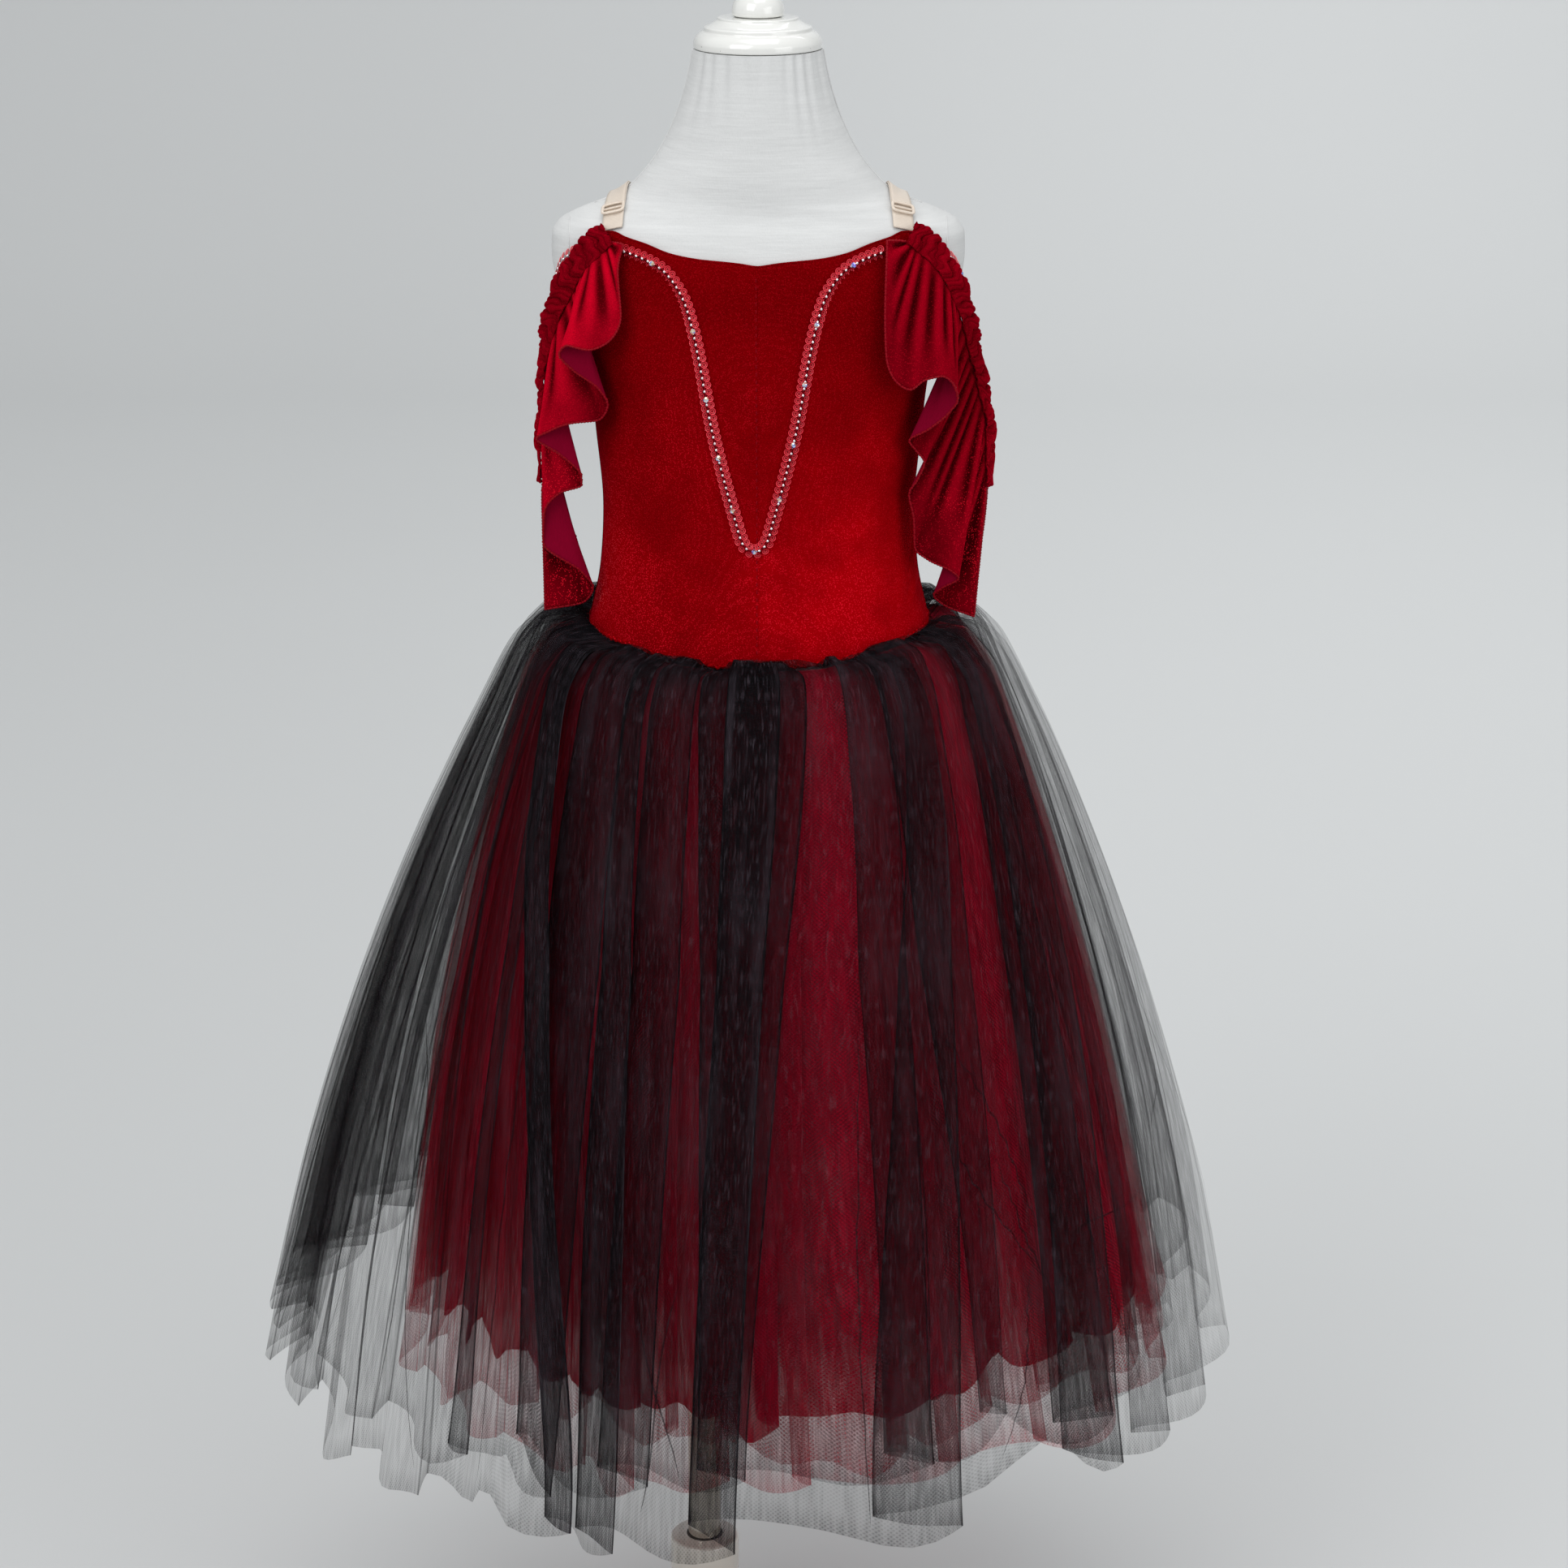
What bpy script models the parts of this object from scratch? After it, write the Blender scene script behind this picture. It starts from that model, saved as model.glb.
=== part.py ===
"""Child's ballet dress with a long tulle skirt, on a limbless dress form with a pole stand.

Metres, +Z up. The origin is on the floor under the middle of the stand's pole, and the
dress faces -Y. Left and right are the viewer's, from the front. Lengths along the body are
heights above the floor. Angles go round the body from the front: 0 is the front, 90 the
side, 180 the back.
"""
from collections import namedtuple
from math import pi, radians, tau

import bmesh
import bpy
import numpy as np

# Driving sizes
FORM_X = 0.043            # the pole enters the form this far to the left of its middle
FORM_COLUMNS = 36         # facets round the form
SEAM_GAP = 0.0003         # between pieces that meet
CLOTH_GAP = 0.0014        # between the form and what is worn on it
BACK_GAP = 0.0020         # between the form and the bodice's back
VELVET_WALL = 0.0012
TULLE_WALL = 0.0010
FLOUNCE_WALL = 0.0010
RUCHING_WALL = 0.0014
TRIM_WIDTH = 0.0115
TRIM_THICKNESS = 0.0020
TRIM_CLEARANCE = 0.0007   # from a facet of the bodice to the trim on it
ELASTIC_WIDTH = 0.0140
ELASTIC_THICKNESS = 0.0011
SLIDER_LEAN = (-33.0, -22.0)   # where the slider's ends lie, leaning from straight up
SLIDER_BOW = 0.0006       # rise of the elastic between the slider's ends
POLE_RADIUS = 0.0124
NECK_TOP = 1.2540
FORM_BOTTOM = 0.7000
LEFT, RIGHT = -1, 1

# The dress form, from the bottom up. power is 2 for an ellipse and more for a squarer section
Section = namedtuple("Section", "z half_width front back power")
FORM_SECTIONS = [
    Section(0.700, 0.1040, 0.0700, 0.0740, 2.2),
    Section(0.706, 0.1105, 0.0770, 0.0810, 2.2),
    Section(0.730, 0.1150, 0.0820, 0.0880, 2.2),
    Section(0.790, 0.1165, 0.0850, 0.0920, 2.3),
    Section(0.850, 0.1140, 0.0830, 0.0840, 2.3),
    Section(0.900, 0.1075, 0.0795, 0.0720, 2.3),
    Section(0.940, 0.1055, 0.0780, 0.0680, 2.3),
    Section(0.990, 0.1095, 0.0800, 0.0700, 2.3),
    Section(1.030, 0.1140, 0.0810, 0.0740, 2.3),
    Section(1.065, 0.1270, 0.0780, 0.0760, 2.3),
    Section(1.097, 0.1380, 0.0715, 0.0700, 2.3),
    Section(1.118, 0.1412, 0.0655, 0.0640, 2.3),
    Section(1.130, 0.1408, 0.0610, 0.0610, 2.3),
    Section(1.138, 0.1365, 0.0575, 0.0580, 2.3),
    Section(1.1445, 0.1255, 0.0540, 0.0550, 2.2),
    Section(1.151, 0.1085, 0.0520, 0.0530, 2.2),
    Section(1.1565, 0.0945, 0.0515, 0.0520, 2.1),
    Section(1.170, 0.0790, 0.0510, 0.0505, 2.1),
    Section(1.189, 0.0652, 0.0490, 0.0490, 2.0),
    Section(1.2135, 0.0540, 0.0470, 0.0470, 2.0),
    Section(1.237, 0.0470, 0.0448, 0.0448, 2.0),
    Section(NECK_TOP, 0.0436, 0.0436, 0.0436, 2.0),
]

# Upper and lower edges of the bodice, by angle round the body
Edge = namedtuple("Edge", "angle z")
NECKLINE = [
    Edge(0, 1.1175), Edge(4, 1.1195), Edge(14, 1.1220), Edge(21, 1.1250), Edge(29, 1.1310),
    Edge(36, 1.1345), Edge(42, 1.1375), Edge(46, 1.1370), Edge(51, 1.1240), Edge(58, 1.1050),
    Edge(70, 1.0750), Edge(80, 1.0560), Edge(90, 1.0480), Edge(105, 1.0500), Edge(122, 1.0620),
    Edge(135, 1.0780), Edge(143, 1.0960), Edge(147, 1.0960), Edge(157, 1.0680), Edge(180, 1.0480),
]
WAISTLINE = [Edge(0, 0.8475), Edge(35, 0.8500), Edge(90, 0.8520), Edge(180, 0.8520)]
FRONT_COLUMNS = [0, 4, 12, 20, 28, 35, 41, 46, 51, 57, 64, 72, 81, 90]
BACK_COLUMNS = [90, 100, 110, 120, 130, 138, 145, 152, 161, 171, 180]
BODICE_ROWS = 10
BODICE_FLARE = 0.0030     # the bodice's lower edge stands this far off the form
FLARE_HEIGHT = 0.060

# Half of the V trim on the bodice: distance from its middle line, and height
TrimPoint = namedtuple("TrimPoint", "spread z")
V_TRIM = [
    TrimPoint(0.0000, 0.9262), TrimPoint(0.0040, 0.9274), TrimPoint(0.0074, 0.9310),
    TrimPoint(0.0098, 0.9370), TrimPoint(0.0122, 0.9460), TrimPoint(0.0185, 0.9700),
    TrimPoint(0.0280, 1.0110), TrimPoint(0.0360, 1.0570), TrimPoint(0.0405, 1.0780),
    TrimPoint(0.0465, 1.0970), TrimPoint(0.0600, 1.1155), TrimPoint(0.0760, 1.1235),
    TrimPoint(0.0875, 1.1270),
]
V_MIDDLE = -0.0025        # the V hangs a little to the left
V_STEPS = 22              # grid steps on each arm of the V
SLEEVE_TRIM = [
    Edge(56, 1.1240), Edge(64, 1.1170), Edge(74, 1.1030), Edge(86, 1.0910), Edge(98, 1.0860),
    Edge(112, 1.0890), Edge(126, 1.0960), Edge(140, 1.1050),
]
SLEEVE_TRIM_STEPS = 18

# The ruched strip of a sleeve, from the strap's corner down the outside of the arm.
# facing is the way it faces, round the body from the front; tilt is how far it faces up
StripPoint = namedtuple("StripPoint", "x y z facing tilt")
STRIP = {
    LEFT: [
        StripPoint(0.0995, -0.0508, 1.1360, 30, 38), StripPoint(0.1152, -0.0486, 1.1215, 38, 30),
        StripPoint(0.1275, -0.0442, 1.1020, 48, 18), StripPoint(0.1370, -0.0380, 1.0800, 60, 6),
        StripPoint(0.1430, -0.0280, 1.0540, 74, 0), StripPoint(0.1460, -0.0200, 1.0240, 84, 0),
        StripPoint(0.1480, -0.0150, 0.9920, 88, 0), StripPoint(0.1480, -0.0130, 0.9600, 90, 0),
    ],
    RIGHT: [
        StripPoint(0.1014, -0.0512, 1.1370, 34, 38), StripPoint(0.1184, -0.0480, 1.1225, 46, 30),
        StripPoint(0.1315, -0.0415, 1.1000, 58, 16), StripPoint(0.1400, -0.0350, 1.0770, 66, 4),
        StripPoint(0.1450, -0.0280, 1.0530, 72, 0), StripPoint(0.1510, -0.0230, 1.0280, 76, 0),
        StripPoint(0.1560, -0.0190, 1.0000, 78, 0), StripPoint(0.1570, -0.0170, 0.9580, 80, 0),
    ],
}
STRIP_HALF_WIDTH = 0.0100
STRIP_GATHERS = 14
STEPS_PER_GATHER = 4
GATHER_HEIGHT = 0.0050

# Hem of each front flounce, from the strap's corner down, as a zigzag of stacked folds.
# seam is how far down the ruched strip the cloth above that hem point is sewn
HemPoint = namedtuple("HemPoint", "x y z seam")
FRONT_HEM = {
    LEFT: [
        HemPoint(0.0900, -0.0600, 1.1320, 0.00), HemPoint(0.0935, -0.0670, 1.1145, 0.02),
        HemPoint(0.0915, -0.0750, 1.0865, 0.04), HemPoint(0.0985, -0.0790, 1.0710, 0.07),
        HemPoint(0.1130, -0.0800, 1.0645, 0.11), HemPoint(0.1270, -0.0780, 1.0670, 0.15),
        HemPoint(0.1330, -0.0740, 1.0600, 0.19), HemPoint(0.1245, -0.0700, 1.0490, 0.23),
        HemPoint(0.1075, -0.0670, 1.0355, 0.27), HemPoint(0.1015, -0.0640, 1.0240, 0.31),
        HemPoint(0.1075, -0.0615, 1.0130, 0.35), HemPoint(0.1275, -0.0600, 1.0100, 0.40),
        HemPoint(0.1430, -0.0575, 1.0035, 0.45), HemPoint(0.1505, -0.0540, 0.9980, 0.49),
        HemPoint(0.1350, -0.0510, 0.9865, 0.53), HemPoint(0.1210, -0.0485, 0.9715, 0.57),
        HemPoint(0.1210, -0.0460, 0.9640, 0.61), HemPoint(0.1360, -0.0445, 0.9580, 0.66),
        HemPoint(0.1470, -0.0430, 0.9445, 0.71), HemPoint(0.1485, -0.0405, 0.9220, 0.76),
        HemPoint(0.1230, -0.0378, 0.9010, 0.82), HemPoint(0.1150, -0.0340, 0.8885, 0.88),
        HemPoint(0.1215, -0.0302, 0.8770, 0.93), HemPoint(0.1490, -0.0270, 0.8705, 1.00),
    ],
    RIGHT: [
        HemPoint(0.0865, -0.0600, 1.1345, 0.00), HemPoint(0.0860, -0.0660, 1.1230, 0.02),
        HemPoint(0.0850, -0.0750, 1.0870, 0.04), HemPoint(0.0860, -0.0800, 1.0595, 0.06),
        HemPoint(0.0925, -0.0820, 1.0435, 0.09), HemPoint(0.1020, -0.0820, 1.0380, 0.12),
        HemPoint(0.1120, -0.0795, 1.0440, 0.17), HemPoint(0.1230, -0.0770, 1.0460, 0.22),
        HemPoint(0.1310, -0.0730, 1.0400, 0.27), HemPoint(0.1345, -0.0690, 1.0285, 0.32),
        HemPoint(0.1295, -0.0660, 1.0195, 0.36), HemPoint(0.1155, -0.0640, 1.0070, 0.40),
        HemPoint(0.1025, -0.0610, 0.9985, 0.44), HemPoint(0.1075, -0.0580, 0.9905, 0.48),
        HemPoint(0.1130, -0.0560, 0.9820, 0.52), HemPoint(0.1085, -0.0540, 0.9695, 0.56),
        HemPoint(0.1030, -0.0520, 0.9585, 0.60), HemPoint(0.1065, -0.0500, 0.9405, 0.65),
        HemPoint(0.1075, -0.0480, 0.9205, 0.70), HemPoint(0.1165, -0.0465, 0.9115, 0.74),
        HemPoint(0.1335, -0.0450, 0.9025, 0.79), HemPoint(0.1380, -0.0415, 0.8965, 0.83),
        HemPoint(0.1280, -0.0382, 0.8895, 0.87), HemPoint(0.1215, -0.0347, 0.8830, 0.91),
        HemPoint(0.1285, -0.0312, 0.8750, 0.95), HemPoint(0.1500, -0.0275, 0.8655, 1.00),
    ],
}
STEPS_PER_HEM_POINT = 2
FLOUNCE_DROPS = (0.0, 0.3, 0.65, 1.0)   # rows of a flounce, as shares of its fall
FORWARD_POWER = 0.6       # a flounce stands out from its seam with this power of the fall
BACK_FOLDS = 2.5
BACK_FLOUNCE_COLUMNS = 22
BACK_FLOUNCE_TOP = 0.45   # the back flounce starts this far down the ruched strip
BACK_FLOUNCE_REACH = 0.030
BACK_FLOUNCE_DROP = 0.085

# A tulle layer, from the waist seam down. gather and flute are how far its waves stand out
Ring = namedtuple("Ring", "z half_width half_depth shift gather flute")
BLACK_RINGS = [
    Ring(0.8520, 0.1199, 0.0894, 0.000, 0.0000, 0.0000),
    Ring(0.8565, 0.1320, 0.1020, 0.000, 0.0024, 0.0005),
    Ring(0.8565, 0.1480, 0.1190, 0.000, 0.0026, 0.0025),
    Ring(0.8400, 0.1690, 0.1420, 0.000, 0.0018, 0.0050),
    Ring(0.7880, 0.1960, 0.1730, 0.000, 0.0000, 0.0075),
    Ring(0.6900, 0.2390, 0.2250, -0.002, 0.0000, 0.0090),
    Ring(0.5700, 0.2820, 0.2770, -0.004, 0.0000, 0.0105),
    Ring(0.4400, 0.3180, 0.3160, -0.006, 0.0000, 0.0120),
    Ring(0.3170, 0.3420, 0.3420, -0.008, 0.0000, 0.0140),
]
RED_RINGS = [
    Ring(0.8505, 0.1200, 0.0894, 0.000, 0.0000, 0.0000),
    Ring(0.8500, 0.1360, 0.1060, 0.000, 0.0000, 0.0005),
    Ring(0.8280, 0.1600, 0.1340, 0.000, 0.0000, 0.0030),
    Ring(0.7300, 0.1960, 0.1830, 0.003, 0.0000, 0.0070),
    Ring(0.5500, 0.2440, 0.2420, 0.009, 0.0000, 0.0090),
    Ring(0.3350, 0.2830, 0.2860, 0.018, 0.0000, 0.0100),
]
FLUTES = 24
WAIST_POWER = 2.3         # section of a tulle layer at the waist; it is 2 at the hem
Layer = namedtuple("Layer", "steps_per_flute hem_swing")
BLACK_LAYER = Layer(steps_per_flute=6, hem_swing=0.0090)
RED_LAYER = Layer(steps_per_flute=4, hem_swing=0.0060)

# Turned pieces: radius at each height, from the bottom up
Turn = namedtuple("Turn", "radius z")
NECK_CAP = [
    Turn(0.0420, 1.2543), Turn(0.0434, 1.2556), Turn(0.0437, 1.2580), Turn(0.0424, 1.2618),
    Turn(0.0394, 1.2652), Turn(0.0366, 1.2668), Turn(0.0356, 1.2690), Turn(0.0310, 1.2708),
    Turn(0.0280, 1.2728), Turn(0.0268, 1.2748), Turn(0.0200, 1.2752),
]
KNOB = [
    Turn(0.0165, 1.2755), Turn(0.0174, 1.2770), Turn(0.0176, 1.2800), Turn(0.0168, 1.2838),
    Turn(0.0150, 1.2872), Turn(0.0118, 1.2905), Turn(0.0078, 1.2934), Turn(0.0040, 1.2950),
]
COLLAR = [
    Turn(0.0400, 0.0203), Turn(0.0400, 0.0260), Turn(0.0330, 0.0330), Turn(0.0275, 0.0480),
    Turn(0.0260, 0.0700), Turn(0.0262, 0.0980), Turn(0.0250, 0.1010), Turn(0.0262, 0.1040),
    Turn(0.0262, 0.1290), Turn(0.0245, 0.1322), Turn(0.0225, 0.1330),
]
BASE = [
    Turn(0.1250, 0.0000), Turn(0.1270, 0.0040), Turn(0.1270, 0.0100), Turn(0.1230, 0.0160),
    Turn(0.1130, 0.0200),
]
POLE = [
    Turn(POLE_RADIUS, COLLAR[-1].z + SEAM_GAP), Turn(POLE_RADIUS, FORM_BOTTOM - SEAM_GAP),
]
TURN_STEPS = 20

# Colour, roughness and metallic value of each material
Finish = namedtuple("Finish", "colour roughness metallic")
FINISHES = {
    "velvet": Finish((0.23, 0.003, 0.012), 0.75, 0.0),
    "sleeve_velvet": Finish((0.34, 0.004, 0.028), 0.70, 0.0),
    "black_tulle": Finish((0.010, 0.010, 0.013), 0.80, 0.0),
    "red_tulle": Finish((0.14, 0.004, 0.014), 0.80, 0.0),
    "bead_trim": Finish((0.60, 0.02, 0.04), 0.20, 0.0),
    "elastic": Finish((0.62, 0.54, 0.46), 0.45, 0.0),
    "clear_plastic": Finish((0.78, 0.70, 0.62), 0.15, 0.0),
    "form_cloth": Finish((0.70, 0.71, 0.71), 0.85, 0.0),
    "white_gloss": Finish((0.82, 0.82, 0.80), 0.15, 0.0),
    "ivory_gloss": Finish((0.62, 0.59, 0.54), 0.20, 0.0),
    "chrome": Finish((0.80, 0.80, 0.80), 0.08, 1.0),
}


def clear_scene():
    """Remove whatever the scene holds."""
    for old in list(bpy.data.objects):
        bpy.data.objects.remove(old, do_unlink=True)


def material(name):
    """The named Principled material, made on first use."""
    found = bpy.data.materials.get(name)
    if found:
        return found
    finish = FINISHES[name]
    made = bpy.data.materials.new(name)
    made.use_nodes = True
    shader = made.node_tree.nodes["Principled BSDF"]
    shader.inputs["Base Color"].default_value = (*finish.colour, 1.0)
    shader.inputs["Roughness"].default_value = finish.roughness
    shader.inputs["Metallic"].default_value = finish.metallic
    return made


def column(rows, name):
    """One named column of a table as an array."""
    return np.array([getattr(row, name) for row in rows], dtype=float)


def smooth(places, values, at):
    """Values read from a smooth curve through a table's points, which never overshoots them."""
    places = np.asarray(places, dtype=float)
    values = np.asarray(values, dtype=float)
    step = np.diff(places)
    slope = np.diff(values) / step
    tangent = np.zeros_like(values)
    both = slope[:-1] * slope[1:]
    total = slope[:-1] + slope[1:]
    same_way = both > 0
    tangent[1:-1][same_way] = 2 * both[same_way] / total[same_way]
    tangent[0] = slope[0]
    tangent[-1] = slope[-1]
    at = np.clip(np.asarray(at, dtype=float), places[0], places[-1])
    i = np.clip(np.searchsorted(places, at, side="right") - 1, 0, len(step) - 1)
    t = (at - places[i]) / step[i]
    start = values[i] * (1 + 2 * t) * (1 - t) ** 2 + tangent[i] * step[i] * t * (1 - t) ** 2
    end = values[i + 1] * t * t * (3 - 2 * t) - tangent[i + 1] * step[i] * t * t * (1 - t)
    return start + end


def along(rows, names, fraction):
    """The named columns of a table, each read smoothly at fractions 0 to 1 of its rows."""
    places = np.linspace(0, 1, len(rows))
    return [smooth(places, column(rows, name), fraction) for name in names]


def section_at(z):
    """The form's half width, front and back depth and power at heights z."""
    heights = column(FORM_SECTIONS, "z")
    names = ("half_width", "front", "back", "power")
    return [smooth(heights, column(FORM_SECTIONS, name), z) for name in names]


def body_points(angle, z, out=0.0):
    """Points at the given angles and heights, a distance outside the form's surface."""
    half_width, front, back, power = section_at(z)
    turn = np.radians(angle)
    s, c = np.sin(turn), np.cos(turn)
    depth = np.where(c > 0, front, back)
    x = (half_width + out) * np.sign(s) * np.abs(s) ** (2 / power)
    y = -(depth + out) * np.sign(c) * np.abs(c) ** (2 / power)
    return np.stack([x, y, z + 0 * x], axis=-1)


def front_points(x, z, out):
    """Points on the front of the body at the given x and z, a distance outside the form."""
    half_width, _, _, power = section_at(z)
    share = np.clip(np.abs(x) / (half_width + out), 0, 0.999)
    angle = np.degrees(np.arcsin(share ** (power / 2))) * np.sign(x)
    return body_points(angle, z, out)


def grid_normals(points, closed=False):
    """Unit normals of a grid of points: across its first direction by its second."""
    if closed:
        first = np.roll(points, -1, axis=0) - np.roll(points, 1, axis=0)
    else:
        first = np.gradient(points, axis=0)
    second = np.gradient(points, axis=1)
    normal = np.cross(first, second)
    return normal / np.linalg.norm(normal, axis=-1, keepdims=True)


def add_object(name, mesh, slot, at_form=True):
    """Link a mesh as an object with its material, on the form's middle line or the pole's."""
    made = bpy.data.objects.new(name, mesh)
    made.location = (FORM_X, 0, 0) if at_form else (0, 0, 0)
    bpy.context.scene.collection.objects.link(made)
    mesh.materials.append(material(slot))
    mesh.shade_smooth()
    mesh.set_sharp_from_angle(angle=radians(40))
    return made


def cloth(name, points, slot, wall, closed=False, grow=1, even=True):
    """A cloth wall: a grid of points thickened outwards, or inwards where grow is -1.

    Each cell is split along its shorter diagonal, so that both faces of the wall bend alike.
    """
    count, rows, _ = points.shape
    mesh = bpy.data.meshes.new(name)
    dots = points.reshape(-1, 3)
    faces = []
    for i in range(count if closed else count - 1):
        following = (i + 1) % count
        for j in range(rows - 1):
            a, b = i * rows + j, following * rows + j
            c, d = b + 1, a + 1
            if np.linalg.norm(dots[a] - dots[c]) < np.linalg.norm(dots[b] - dots[d]):
                faces += [(a, b, c), (a, c, d)]
            else:
                faces += [(a, b, d), (b, c, d)]
    mesh.from_pydata(dots.tolist(), [], faces)
    made = add_object(name, mesh, slot)
    thicken = made.modifiers.new("wall", "SOLIDIFY")
    thicken.thickness = wall
    thicken.offset = grow
    thicken.use_even_offset = even
    thicken.thickness_clamp = 0.0
    return made


def turned(name, profile, slot, at_form, steps=TURN_STEPS):
    """A solid of revolution about its axis, from its profile of radii, with flat ends."""
    shape = bmesh.new()
    outline = [(0.0, profile[0].z)] + [(row.radius, row.z) for row in profile]
    outline.append((0.0, profile[-1].z))
    dots = [shape.verts.new((radius, 0, z)) for radius, z in outline]
    edges = [shape.edges.new(pair) for pair in zip(dots, dots[1:])]
    bmesh.ops.spin(shape, geom=dots + edges, cent=(0, 0, 0), axis=(0, 0, 1), angle=tau,
                   steps=steps, use_merge=True, use_duplicate=False)
    bmesh.ops.remove_doubles(shape, verts=shape.verts, dist=1e-6)
    bmesh.ops.recalc_face_normals(shape, faces=shape.faces)
    mesh = bpy.data.meshes.new(name)
    shape.to_mesh(mesh)
    shape.free()
    return add_object(name, mesh, slot, at_form)


def build_torso():
    """The cloth-covered form: rings of its sections with a flat top and bottom."""
    shape = bmesh.new()
    angle = np.arange(FORM_COLUMNS) * 360 / FORM_COLUMNS
    rings = []
    for row in FORM_SECTIONS:
        points = body_points(angle, row.z + 0 * angle)
        rings.append([shape.verts.new(point) for point in points])
    for lower, upper in zip(rings, rings[1:]):
        for i in range(FORM_COLUMNS):
            j = (i + 1) % FORM_COLUMNS
            shape.faces.new((lower[i], lower[j], upper[j], upper[i]))
    shape.faces.new(rings[0])
    shape.faces.new(rings[-1])
    bmesh.ops.recalc_face_normals(shape, faces=shape.faces)
    mesh = bpy.data.meshes.new("form_torso")
    shape.to_mesh(mesh)
    shape.free()
    add_object("form_torso", mesh, "form_cloth")


def edge_height(rows, angle):
    """Height of a bodice edge at angles round the body."""
    from_front = np.minimum(np.abs(angle), 360 - np.abs(angle))
    return smooth(column(rows, "angle"), column(rows, "z"), from_front)


def bodice_panel(name, angles, gap):
    """A panel that follows the form between the waistline and the neckline, a gap off it."""
    angles = np.asarray(angles, dtype=float)[:, None]
    share = np.linspace(0, 1, BODICE_ROWS)[None, :]
    low = edge_height(WAISTLINE, angles) + SEAM_GAP
    high = edge_height(NECKLINE, angles)
    z = low + (high - low) * share
    rise = np.clip((z - low) / FLARE_HEIGHT, 0, 1)
    out = gap + BODICE_FLARE * (1 - rise) ** 2
    points = body_points(angles + 0 * z, z, out)
    return cloth(name, points, "velvet", VELVET_WALL)


def build_bodice():
    """Two front panels with a centre seam, and one back panel."""
    seam_angle = 0.2
    side_angle = 89.85
    right = np.clip(FRONT_COLUMNS, seam_angle, side_angle)
    bodice_panel("bodice_front_right", right, CLOTH_GAP)
    bodice_panel("bodice_front_left", -right[::-1], CLOTH_GAP)
    half = np.clip(BACK_COLUMNS, 180 - side_angle, 180)
    bodice_panel("bodice_back", np.concatenate([half, 360 - half[-2::-1]]), BACK_GAP)


def outside_bodice():
    """How far the bodice's outer face lies outside the form."""
    return CLOTH_GAP + VELVET_WALL


def build_v_trim():
    """The bead trim's band, which lies on the bodice front in a deep V."""
    fraction = np.linspace(0, 1, V_STEPS)
    spread, height = along(V_TRIM, ("spread", "z"), fraction)
    x = V_MIDDLE + np.concatenate([-spread[:0:-1], spread])
    z = np.concatenate([height[:0:-1], height])
    way = np.stack([np.gradient(x), np.gradient(z)])
    way = way / np.hypot(*way)
    across = np.array([-0.5, 0.5]) * TRIM_WIDTH
    grid_x = x[:, None] - way[1][:, None] * across
    grid_z = z[:, None] + way[0][:, None] * across
    points = front_points(grid_x, grid_z, outside_bodice() + TRIM_CLEARANCE)
    cloth("neckline_trim", points, "bead_trim", TRIM_THICKNESS)


def build_sleeve_trim(name, side):
    """The bead trim's band on the sleeve's top edge, round the shoulder."""
    angle, height = along(SLEEVE_TRIM, ("angle", "z"), np.linspace(0, 1, SLEEVE_TRIM_STEPS))
    across = np.array([-0.5, 0.5]) * TRIM_WIDTH
    z = height[:, None] + across[None, :]
    points = body_points(angle[:, None] + 0 * z, z, CLOTH_GAP)
    points[..., 0] *= side
    if side == LEFT:
        points = points[::-1]
    cloth(name, points, "bead_trim", TRIM_THICKNESS)


def over_shoulder(x, lean):
    """Where rays from inside the shoulder at x, leaning back from straight up, leave the form."""
    middle = 1.090
    near, far = np.zeros_like(x), np.full_like(x, 0.12)
    for _ in range(40):
        reach = (near + far) / 2
        z = middle + reach * np.cos(lean)
        half_width, front, back, power = section_at(z)
        depth = np.where(lean < 0, front, back)
        width_share = np.clip(np.abs(x) / half_width, 0, 1)
        limit = depth * (1 - width_share ** power) ** (1 / power)
        inside = (width_share < 1) & (np.abs(reach * np.sin(lean)) < limit)
        near = np.where(inside, reach, near)
        far = np.where(inside, far, reach)
    return np.stack([x, near * np.sin(lean), middle + near * np.cos(lean)], axis=-1)


def strap_surface(side, lean, width):
    """A band of the form's surface that runs over the shoulder from front to back."""
    front_x, back_x = 0.0975, 0.0875
    lean = np.radians(lean)[:, None]
    share = (lean - lean[0]) / (lean[-1] - lean[0])
    middle = front_x + (back_x - front_x) * share
    x = middle + np.array([-0.5, 0.5]) * width
    points = over_shoulder(x, lean + 0 * x)
    points[..., 0] *= side
    return points if side == LEFT else points[::-1]


def build_strap(name, side):
    """Shoulder elastic from the front corner of the bodice to the back corner."""
    lean = np.linspace(-42, 83.8, 16)
    points = strap_surface(side, lean, ELASTIC_WIDTH)
    points = points + grid_normals(points) * CLOTH_GAP
    cloth(name, points, "elastic", ELASTIC_THICKNESS)


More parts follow.
